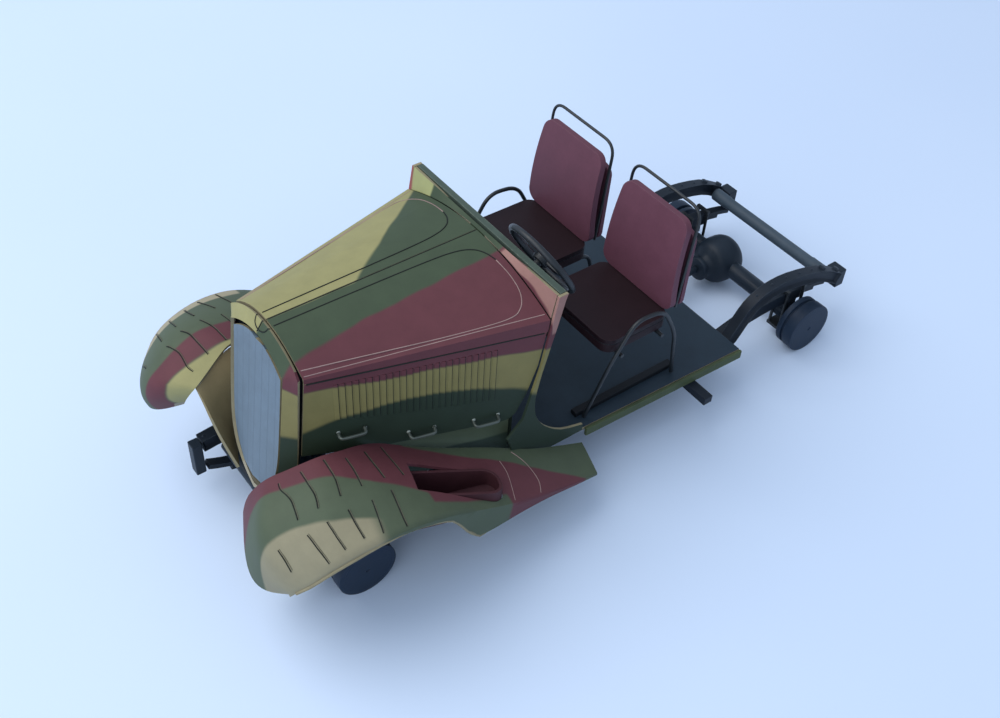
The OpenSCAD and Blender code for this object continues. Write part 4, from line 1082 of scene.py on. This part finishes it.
# %% Boards of the seat backs
RECLINE, FRONT_BOARD, STRIPS, BOW, SHORTER = 0.105, 1.8, 10, 3.6, 0.86
for side in SIDES:
    bm = flat_faced(copied(f"seat_back_{side}"))
    foot = min(v.co.z for v in bm.verts)
    height = max(v.co.z for v in bm.verts) - foot
    front = min(v.co.y - RECLINE * (v.co.z - foot) for v in bm.verts)
    for k in range(1, STRIPS):
        cut_across(bm, (0, 0, foot + height * k / STRIPS), (0, 0, 1))
    for vert in bm.verts:
        t = (vert.co.z - foot) / height
        if vert.co.y - RECLINE * (vert.co.z - foot) - front > FRONT_BOARD:
            vert.co.z = foot + (vert.co.z - foot) * SHORTER
        else:
            vert.co.y -= BOW * t * (1 - t)
    piece(bm, f"seat_boards_{side}", "car", [seat_paint], [f"seat_back_{side}"], edges=0.22, angle=35)
    print("back board height in mm:", round(height, 2))

# %% [markdown]
# ## Wire frames of the seats
# Each frame is bent from two gauges of wire: a thick one for the arm hoop, the inner hoop and two rods, and a thin one
# for the loop over the back. Below the cushion the legs of the arm hoop lean inwards to the floor. A wire is a round
# thread along a path whose corners are eased by a short parabola, the shape that pliers leave.

# %% Seat wires


def bent(points, ease):
    """A path of straight runs with eased corners."""
    points = [Vector(p) for p in points]
    path = [points[0]]
    for before, corner, after in zip(points, points[1:], points[2:]):
        enter = corner + ease * (before - corner).normalized()
        leave = corner + ease * (after - corner).normalized()
        for k in range(9):
            t = k / 8
            path.append((1 - t) ** 2 * enter + 2 * t * (1 - t) * corner + t * t * leave)
    return path + [points[-1]]


def on_either(sign, path):
    """A path given for the left side, as a path of either side."""
    return [Vector((sign * x, y, z)) for x, y, z in path]


for side, sign in SIDES.items():
    low, high = [1000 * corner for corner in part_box(f"seat_cushion_{side}")]
    front, middle, top = low.y - 1000 * front_axle_y, abs(low.x + high.x) / 2, high.z
    rod_z, floor_z = low.z - 0.55, 12.4
    outer_x, inner_x = middle + 10.8, middle - 8.3
    arm = [(middle + 7.7, front - 1.6, floor_z), (outer_x, front + 0.1, top - 4.6), (outer_x, front + 5.2, top + 4),
           (outer_x, front + 12.4, top + 3.2), (outer_x, front + 16.4, top - 4.4),
           (middle + 7.9, front + 21.2, floor_z)]
    inner = [(inner_x, front - 1.4, floor_z), (inner_x, front, rod_z), (inner_x, front + 16.6, rod_z),
             (inner_x, front + 21.4, floor_z)]
    rods = [[(middle - 8.1, front + y, rod_z), (middle + 10.9, front + y, rod_z)] for y in (3, 13)]
    loop = [(middle + x, front + 16.9 + RECLINE * h, top + 0.05 + 0.994 * h) for x, h in
            ((-9.2, 0.6), (-9.0, 22.3), (9.0, 22.3), (9.2, 0.6))]
    thick = [on_either(sign, path) for path in [bent(arm, 3), bent(inner, 2.4), *rods]]
    threads(f"seat_wire_{side}", thick, 0.42, black_wire, [f"seat_frame_{side}"], 3)
    threads(f"seat_loop_{side}", [on_either(sign, bent(loop, 3))], 0.3, black_wire, (), 3)
    print("seat", side, "front at y", round(front, 2), "top at z", round(top, 2))

# %% [markdown]
# ## Steering wheel and column
# The rim is a ring of wire, which a full spin of a small circle gives. Three flattened spokes reach it from a turned
# hub with a pressed cap. They are 1 mm wide at the hub and 0.65 mm at the rim.

# %% Steering wheel
hinge = joints["turn_hand_wheel"]
centre = Vector(hinge["pos_m"]) * 1000 - Vector((0, 1000 * front_axle_y, 0))
tilt = Matrix.Translation(centre) @ Vector(hinge["axis"]).to_track_quat("Z", "X").to_matrix().to_4x4()
low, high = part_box("steering_wheel")
ring, rim_wire = 500 * (high.x - low.x) - 0.65, 0.62
bm = bmesh.new()
circle = bmesh.ops.create_circle(bm, radius=rim_wire, segments=16)["verts"]
set_down(bm, (ring, 0, 0), pi / 2, verts=circle)
bmesh.ops.spin(bm, geom=bm.verts[:] + bm.edges[:], cent=(0, 0, 0), axis=(0, 0, 1), angle=2 * pi, steps=72,
               use_merge=True)
closed_up(bm)
for angle in (90, 210, 330):
    spoke = bmesh.ops.create_cube(bm, size=1)["verts"]
    bmesh.ops.scale(bm, vec=(ring - 1.1, 1.0, 0.4), verts=spoke)
    bmesh.ops.translate(bm, vec=(ring / 2 + 0.5, 0, 0), verts=spoke)
    narrow = [v for v in spoke if v.co.x > 5]
    bmesh.ops.scale(bm, vec=(1, 0.65, 1), verts=narrow)
    bmesh.ops.rotate(bm, cent=(0, 0, 0), matrix=Matrix.Rotation(radians(angle), 3, "Z"), verts=spoke)
join(bm, turned([(0, 0.9), (0.6, 0.88), (0.9, 0.7), (1.5, 0.66), (1.7, 0.45), (1.7, -0.7), (1.5, -0.8), (0, -0.8)], 32))
bmesh.ops.transform(bm, matrix=tilt, verts=bm.verts)
piece(bm, "steering_wheel_wire", "hand_wheel", [black_wire], ["steering_wheel"], angle=40)
piece(flat_faced(copied("steering_column")), "column_wire", "car", [black_wire], ["steering_column"],
      edges=0.1)
print("wheel centre in mm:", [round(c, 2) for c in centre])

# %% [markdown]
# ## Hood handles and glue
# Three wire handles are pushed through each flank and held with a drop of glue at each end. The drops stay shiny, and
# they are the only really glossy spots on the model.

# %% Handles and glue
piece(four_sided(copied("hood_handles")), "handle_wires", "car", [pale_wire], ["hood_handles"], levels=1)
ends = []
for side in SIDES:
    for y, z in ((1.5, 32.0), (6.0, 31.6), (13.5, 27.6), (18.1, 27.2), (25.3, 26.2), (29.8, 26.0)):
        hit, normal = on_flank(side, y, z)
        if hit is not None:
            ends.append((hit, normal))
stamped("glue_drops", drop, ends, glue)
print("glue drops:", len(ends))

# %% [markdown]
# ## The size of the dressed model
# The box that the dressed model fills is printed in millimetres.

# %% Print the dressed model's box
low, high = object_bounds()
print("box in mm:", [round(1000 * d, 2) for d in high - low])
